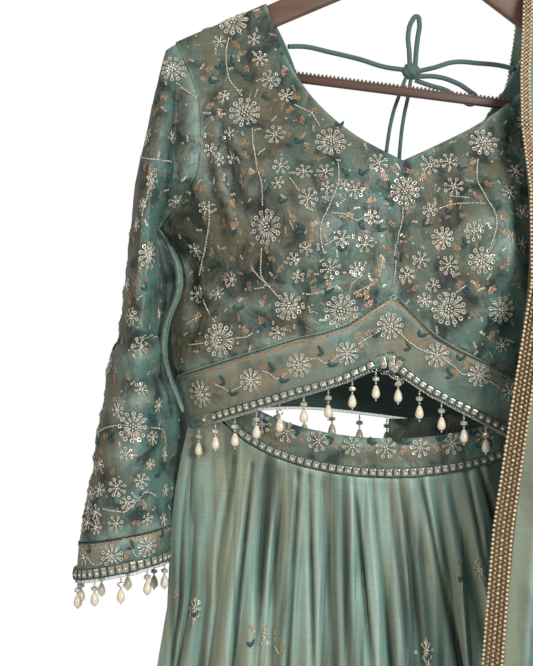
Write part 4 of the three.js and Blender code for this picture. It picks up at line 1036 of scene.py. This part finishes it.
def walk(face, start, heading, pitch, reach=0.014):
    """Stops a pitch apart along the middle of a strip: place, way on, way out and half width.
    The walk ends at the strip's end or where it began. A step that comes back to within three
    quarters of a pitch of one of the last eight stops is left out."""
    stops = []
    place, out, _, _ = face.find_nearest(start)
    way = Vector(heading).normalized()
    for _ in range(MOST_STOPS):
        side = out.cross(way).normalized()
        one = face.find_nearest(place + side * reach)[0]
        other = face.find_nearest(place - side * reach)[0]
        middle, out, _, _ = face.find_nearest((one + other) / 2)
        gone = min(((middle - stop[0]).length for stop in stops[-8:]), default=pitch)
        if stops and gone > 0.3 * pitch:
            way = (middle - stops[-1][0]).normalized()
        if gone > 0.75 * pitch:
            stops.append((middle, way, out, (one - other).length / 2))
        place, _, _, _ = face.find_nearest(middle + way * pitch)
        at_the_end = (place - middle).length < 0.6 * pitch
        if at_the_end or len(stops) > 6 and (place - stops[0][0]).length < 0.7 * pitch:
            break
    return stops


TAPE_SILK = silk("tape silk", "#557a73", "#6b766a", "#263d38", "#8fa89c", crumple=0.1)
MIRROR_CELL = beads_of("tape mirrors", "#cfc5ab", "#70786a", 0.4, 0.22, 160.0)
THREAD = BEADS["leaf"][1]
MIRROR_PITCH = 0.0072
MIRROR_LONG = 0.0054
MIRROR_HIGH = 0.0012
MIRROR_BEAD = (0.0028, 0.003, 0.0022)
EDGE_STITCH = (0.0044, 0.0012, 0.0016)
RING_PITCH = 0.0022
LINE_RING = (0.0025, 0.0025, 0.0014)
PIPING_PITCH = 0.004
PIPING_STITCH = (0.0052, 0.0017, 0.0022)
CUFF_STITCH = (0.0046, 0.0016, 0.0022)
bpy.ops.mesh.primitive_cube_add(size=1)
bpy.ops.object.mode_set(mode="EDIT")
bpy.ops.mesh.bevel(offset=0.16, segments=1)
bpy.ops.object.mode_set(mode="OBJECT")
MIRROR = bead_shape()


def tape(node, outwards, start, heading):
    """A tape with its mirrors, beads and threads. Gives the stops along it."""
    finer(node, node + "_tape", 2, TAPE_SILK, "silver_trim")
    stops = walk(outer_face(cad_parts[node], outwards), start, heading, MIRROR_PITCH)
    mirrors, beads, threads = [], [], []
    for place, way, out, half in stops:
        side = out.cross(way)
        low = side if side.z < 0 else -side
        mirrors.append((place + out * 0.0004, way, out, (MIRROR_LONG, 1.32 * half, MIRROR_HIGH)))
        beads.append((place + out * 0.0012 + low * 0.0008, way, out, MIRROR_BEAD))
        between = place + way * MIRROR_PITCH / 2
        threads.append((between + out * 0.0003, side, out, (1.68 * half, 0.0011, 0.0016)))
        for edge in (-1, 1):
            for part in (-0.25, 0.25):
                threads.append((place + way * part * MIRROR_PITCH + side * edge * (half - 0.0006)
                                + out * 0.0002, way, out, EDGE_STITCH))
    sew(node + "_mirrors", MIRROR, mirrors, MIRROR_CELL, smooth=False)
    sew(node + "_beads", SEED, beads, BEADS["seed"][1])
    sew(node + "_threads", STITCH, threads, THREAD)
    return stops


def ring_line(name, face, stops, down):
    """Gold rings sewn in a line at a distance below the stops of a strip."""
    rings = []
    for (place, way, _, half), (after, _, _, _) in zip(stops, stops[1:]):
        steps = max(1, round((after - place).length / RING_PITCH))
        for step in range(steps):
            spot = place.lerp(after, step / steps) - Vector((0, 0, half + down))
            found, out, _, _ = face.find_nearest(spot)
            rings.append((found + out * 0.0005, way, out, LINE_RING))
    shape, material = BEADS["gold"]
    sew(name, shape, rings, material)


HEM_FRONT_STOPS = tape("hem_trim_front", FRONT, in_picture(203, 419, -0.02), (1, 0, 0.2))
HEM_BACK_STOPS = tape("hem_trim_back", BACK, in_picture(194, 419, 0.02), (1, 0, 0))
LEFT_CUFF_STOPS = tape("cuff_trim_left", LEFT_SLEEVE, in_picture(125, 566, -0.04), (1, 0, 0))
RIGHT_CUFF_STOPS = tape("cuff_trim_right", RIGHT_SLEEVE, Vector((0.18, -0.04, -0.66)), (1, 0, 0))
PIPING_STOPS = walk(outer_face(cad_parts["band_piping"], FRONT), in_picture(180, 376, -0.02),
                    (1, 0, 0.4), PIPING_PITCH, reach=0.004)
ring_line("band_rings", FRONT_BAND_FACE, PIPING_STOPS, 0.002)
sew("band_piping_thread", STITCH,
    [(place + out * 0.0006, way, out, PIPING_STITCH) for place, way, out, _ in PIPING_STOPS],
    THREAD)
for side, face, outwards, spot in [
        ("left", LEFT_CUFF_FACE, LEFT_SLEEVE, in_picture(125, 545, -0.04)),
        ("right", RIGHT_CUFF_FACE, RIGHT_SLEEVE, Vector((0.18, -0.04, -0.63)))]:
    band = outer_face(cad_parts["cuff_band_" + side], outwards)
    band_stops = walk(band, spot, (1, 0, 0), PIPING_PITCH, reach=0.03)
    ring_line(side + "_cuff_rings", face,
              [(place, way, out, -half + 0.002) for place, way, out, half in band_stops], 0.0)
    cord = [(face.find_nearest(place + Vector((0, 0, half)))[0], way, out, CUFF_STITCH)
            for place, way, out, half in band_stops]
    sew(side + "_cuff_piping", STITCH, cord, THREAD)

# Pearl drops
# Each drop is a silver thread with two seed beads, a faceted crystal, a seed, a pear-shaped
# pearl and an end seed. It hangs plumb from a looped thread edge under the tape.
bpy.ops.mesh.primitive_uv_sphere_add(segments=12, ring_count=9, radius=0.5)
pear = bpy.context.object
for vertex in pear.data.vertices:
    rise = max(0.0, vertex.co.z)
    vertex.co.x *= 1 - 0.5 * rise
    vertex.co.y *= 1 - 0.5 * rise
    vertex.co.z = vertex.co.z * (1.3 if vertex.co.z > 0 else 0.7) - 0.15
PEAR = bead_shape()
bpy.ops.mesh.primitive_torus_add(major_segments=7, minor_segments=3, major_radius=0.42,
                                 minor_radius=0.08)
LOOP = bead_shape()
PEARL = beads_of("ivory pearl", "#f2e6cd", "#dccbab", 0.0, 0.25, 90.0, Coat_Weight=0.6,
                 Coat_Roughness=0.12)
CRYSTAL = beads_of("crystal", "#eceade", "#8b8778", 0.35, 0.08, 300.0)
SILVER_SEED = beads_of("silver seeds", "#e9e4d6", "#a9a493", 0.5, 0.2, 500.0)
# A full drop of the solids is this long, and its tip widens over this rise.
DROP_LENGTH = 0.0282
TIP_RISE = 0.0016
LOOP_SIZE = (0.0048, 0.0034, 0.003)
# The thread of one drop and its beads from the top: kind, and millimetres down, wide and high.
DROP_BEADS = [
    ("seeds", 6.0, 0.5, 15.0), ("seeds", 1.7, 1.8, 1.6), ("seeds", 3.5, 2.1, 1.9),
    ("crystals", 7.6, 7.2, 5.6), ("seeds", 11.4, 2.2, 1.9), ("pearls", 18.7, 7.6, 12.2),
    ("seeds", 26.0, 1.9, 2.2),
]


def drop_places(node):
    """The top of each drop of a solid and how long it is, both read from the tips of its drops."""
    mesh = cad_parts[node].data
    spots = [tuple(round(value, 6) for value in vertex.co) for vertex in mesh.vertices]
    rises = {}
    for edge in mesh.edges:
        here, there = (spots[number] for number in edge.vertices)
        rises.setdefault(here, []).append(there[2] - here[2])
        rises.setdefault(there, []).append(here[2] - there[2])
    for spot, gaps in rises.items():
        if min(gaps) > TIP_RISE / 2:
            share = min(gaps) / TIP_RISE
            yield Vector(spot) + Vector((0, 0, DROP_LENGTH * share)), share


def drops(node, stops):
    """The drops of one edge, and the loops of thread that carry them."""
    up = Vector((0, 0, 1))
    stitches = {"pearls": [], "crystals": [], "seeds": [], "loops": []}
    for number, (top, share) in enumerate(drop_places(node)):
        along = Vector((cos(number * 1.7), sin(number * 1.7), 0))
        for kind, down, wide, high in DROP_BEADS:
            stitches[kind].append((top - up * down * share / 1000, along, up,
                                   np.array((wide, wide, high)) / 1000))
    for (place, way, out, half), (after, _, _, _) in zip(stops, stops[1:]):
        for share in (0.0, 0.33, 0.67):
            stitches["loops"].append((place.lerp(after, share) - up * (half + 0.0012) - out * 0.0008,
                                      way, out, LOOP_SIZE))
    for kind, shape, material in [("pearls", PEAR, PEARL), ("crystals", FACETED, CRYSTAL),
                                  ("seeds", SEED, SILVER_SEED), ("loops", LOOP, SILVER_SEED)]:
        piece = sew(node + "_" + kind, shape, stitches[kind], material, kind != "crystals")
        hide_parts(node)


drops("hem_drops_front", HEM_FRONT_STOPS)
drops("hem_drops_back", HEM_BACK_STOPS)
drops("cuff_drops_left", LEFT_CUFF_STOPS + LEFT_CUFF_STOPS[:1])
drops("cuff_drops_right", RIGHT_CUFF_STOPS + RIGHT_CUFF_STOPS[:1])


# Skirt
# Pleats of thin shot silk are set into a narrow beaded waistband, with a placket at the centre
# back. The folds open downwards. Two dark silk loops hold it over the hanger's bar.
SKIRT_SILK = silk("skirt silk", "#82a397", "#91967e", "#1f322c", "#b1c2b2", patches=7.0,
                  crumple=0.3, roughness=0.4, creases=(44, 30, 2.6), depth=0.78)
SKIRT_FOLDS = [
    ((215, 470), (168, 700), 6, -6), ((243, 476), (214, 760), 7, 5), ((268, 482), (250, 800), 6, -5),
    ((296, 486), (286, 820), 7, 5), ((322, 488), (322, 820), 6, -5), ((352, 490), (356, 820), 7, 5),
    ((384, 490), (398, 820), 6, -6), ((412, 488), (436, 820), 7, 5), ((440, 484), (476, 800), 6, -5),
    ((470, 480), (520, 790), 7, 6), ((232, 560), (190, 900), 10, 6), ((300, 560), (290, 1000), 11, -7),
    ((360, 600), (376, 1100), 12, 7), ((430, 560), (470, 1000), 11, -7), ((262, 620), (230, 1150), 12, 6),
]
# Between them run thin pleats, from the waistband down and apart.
PLEATS = 19
for number in range(PLEATS):
    top = (205 + 15.2 * number + 3 * sin(2.3 * number), 452 + 26 * sin(pi * number / (PLEATS - 1)))
    foot = (158 + 22 * number + 7 * sin(1.9 * number), 770 + 90 * sin(3.1 * number))
    SKIRT_FOLDS.append((top, foot, 3.6 + 1.3 * sin(1.7 * number), -6.5))
# The skirt swells a little to the left beside the sleeve's lower end.
SLEEVE_END = -0.535
SLEEVE_REACH = 0.13
SKIRT_SIDE = -0.195
SIDE_SWELL = 0.0125
SIDE_SOFTNESS = 0.02
SKIRT_FACES = {}
for node, levels, flat, area, outwards, seed in [
        ("skirt_front", 3, (0.72, 1.02), 0.60, FRONT, 1.0),
        ("skirt_back_left", 2, (0.36, 1.02), 0.30, BACK, 4.0),
        ("skirt_back_right", 2, (0.36, 1.02), 0.30, BACK, 6.0)]:
    panel = finer(node, node + "_silk", levels, SKIRT_SILK, "skirt_silk", crease=0.7, sharp=35)
    drape(panel, outwards, 0.003, SKIRT_FOLDS, pucker_size=0.16, seed=seed)
    for vertex in panel.data.vertices:
        level = (SLEEVE_END - vertex.co.z) / SLEEVE_REACH
        if vertex.co.x < SKIRT_SIDE and -1 < level < 1:
            edge = min(1, (SKIRT_SIDE - vertex.co.x) / SIDE_SOFTNESS)
            vertex.co.x -= SIDE_SWELL * cos(level * pi / 2) * edge
    SKIRT_FACES[node] = outer_face(panel, outwards)
# The waistbands get the darker choli silk, not the band silk, as painted shade for the shadow that the
# choli casts on them.
for node, wide in [
        ("waistband_front", 0.42), ("waistband_back_left", 0.2), ("waistband_back_right", 0.2)]:
    waist = finer(node, node + "_silk", 2, CHOLI_SILK, "waist_silk")
for node in ["hang_loop_left", "hang_loop_right"]:
    finer(node, node + "_silk", 2, LINING_AND_SHADE_SILK, "dark_silk")
WAIST_FACE = outer_face(bpy.data.objects["waistband_front_silk"], FRONT)
embroider("waistband", WAIST_FACE, [shown(WAIST_FACE)],
          [(262, 424, 8), (286, 432, 9), (318, 441, 9), (352, 446, 8), (386, 448, 9), (420, 448, 8),
           (452, 444, 9), (484, 436, 8)],
          [(274, 430), (302, 438), (335, 445), (369, 449), (403, 450), (436, 448), (468, 441)],
          [(270, 424, 150), (300, 432, 150), (334, 439, 160), (368, 443, 0), (402, 444, 10),
           (437, 441, 20), (470, 436, 30)])
tape("waist_trim", FRONT, in_picture(241, 432, -0.02), (1, 0, -0.8))
# The skirt's sprigs stand at four places of the picture and in uneven rows below them.
SKIRT_SPRIGS = [(175, 610), (262, 640), (474, 573), (435, 655)] + [
    (across + (row % 2) * 62, 715 + row * 92 + (across * 37) % 41)
    for row in range(10) for across in range(150, 520, 118)]


def near_the_sprigs(right, down, *more):
    """A spot beside each sprig of the skirt, in pixels, and what else is said of it."""
    return [(x + right, y + down, *more) for x, y in SKIRT_SPRIGS]


BELOW = near_the_sprigs(5, 13)
SKIRT_LEAVES = near_the_sprigs(-6, 11, 60)
for node, face in SKIRT_FACES.items():
    if node == "skirt_front":
        embroider(node, face, [hidden(face, -0.05, limit=0.07)], near_the_sprigs(0, 0, 9),
                  BELOW + near_the_sprigs(-8, -9), SKIRT_LEAVES,
                  [[(x, y + 6), (x + 2, y + 18)] for x, y in SKIRT_SPRIGS])
    else:
        embroider(node, face, [hidden(face, 0.05, limit=0.05)], near_the_sprigs(0, 0, 7), BELOW,
                  SKIRT_LEAVES)

# Dupatta
# A long length of lighter, thinner shot silk is folded lengthwise and laid over the shoulder,
# with a beaded gold lace sewn along both long edges.
DUPATTA_SILK = silk("dupatta silk", "#7c9c93", "#888e76", "#38504a", "#a8baae", patches=9.0,
                    crumple=0.3, roughness=0.4, creases=(34, 20, 9), depth=0.55)
dupatta = finer("dupatta", "dupatta_silk_cloth", 2, DUPATTA_SILK, "dupatta_silk", crease=0.6)
gold_lace, lace_tree, lace_shader = surface("gold lace", Metallic=0.55, Roughness=0.38)
lace_knots = shader_node(lace_tree, "TexVoronoi", {"Scale": 420.0})["Distance"]
two_toned(lace_tree, lace_shader, lace_knots, "#a9926f", "#4a3826")
bumped(lace_tree, lace_shader, lace_knots, 0.8, -0.001)
LACE_GOLD = beads_of("lace beads", "#ffedcb", "#a98559", 0.2, 0.22, 260.0)
LACE_COPPER = beads_of("lace thread", "#e6cfa8", "#8b7050", 0.25, 0.3, 420.0)
LACE_PITCH = 0.0038
LACE_KNOT = (0.0032, 0.0031, 0.0023)
LACE_STITCH = (0.0043, 0.0022, 0.0022)
LACE_START = 0.006


def off_the_arm(points):
    """Says that outwards is away from the hanger's arm: in front, above and behind it."""
    ways = np.zeros_like(points)
    ways[:, 1] = np.where(points[:, 1] < 0, -0.86, 0.86)
    ways[:, 2] = 0.5
    return ways


for side in ["inner", "outer"]:
    node = "dupatta_border_" + side
    lace = finer(node, "dupatta_lace_" + side, 2, gold_lace, "gold_lace", crease=0.6)
    # The walk starts a little above the lace's end in front of the choli.
    front_end = min(vertex_places(lace), key=lambda place: place[2] + (1 if place[1] > 0 else 0))
    start = Vector(front_end) + Vector((0, 0, LACE_START))
    stops = walk(outer_face(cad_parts[node], off_the_arm), start, (0, 0, 1), LACE_PITCH)
    knots, threads = [], []
    for number, (place, way, out, half) in enumerate(stops):
        across = out.cross(way)
        for column in range(-2, 3):
            zigzag = way * LACE_PITCH * (0.25 if column % 2 else -0.25)
            spot = place + across * column * half * 0.46 + zigzag + out * 0.0005
            if abs(column) == 2 or (column == 0 and number % 2):
                knots.append((spot, way, out, LACE_KNOT))
            else:
                slant = way + across * (1 if (number + column) % 2 else -1)
                threads.append((spot, slant, out, LACE_STITCH))
    sew("lace_beads_" + side, FACETED, knots, LACE_GOLD)
    sew("lace_threads_" + side, STITCH, threads, LACE_COPPER)

# Studio
# A pale floor below the hem, a white room, and three square lamps: a strong one from the front
# right, a large weak one from the front left and another from behind.
FLOOR_DROP = 0.03
# Where each lamp stands, its size in metres and its power in watts.
LAMPS = [((1.1, -1.85, 0.1), 0.7, 39), ((-1.7, -1.5, 0.2), 1.6, 14), ((0.2, 1.8, 0.9), 1.5, 14)]
AIM = Vector((-0.1, 0, -0.45))
lowest_z = Vector(solid_box[0]).z
bpy.ops.mesh.primitive_plane_add(size=8, location=(-0.05, 0, lowest_z - FLOOR_DROP))
floor = bpy.context.object
floor.name = "floor"
floor_paint, _, floor_shader = surface("floor paint", Roughness=0.7)
floor_shader.inputs["Base Color"].default_value = (0.86, 0.86, 0.86, 1)
floor.data.materials.append(floor_paint)
room = bpy.data.worlds.new("white room")
bpy.context.scene.world = room
room.use_nodes = True
seen = shader_node(room.node_tree, "LightPath")["Is Camera Ray"]
sky = room.node_tree.nodes["Background"]
sky.inputs["Color"].default_value = (1, 1, 1, 1)
room.node_tree.links.new(ranged(room.node_tree, seen, to_low=0.31), sky.inputs["Strength"])
for place, size, power in LAMPS:
    bpy.ops.object.light_add(type="AREA", location=place)
    lamp = bpy.context.object
    lamp.data.size = size
    lamp.data.energy = power
    lamp.rotation_euler = (Vector(place) - AIM).to_track_quat("Z", "Y").to_euler()
bpy.context.scene.view_settings.view_transform = "Standard"
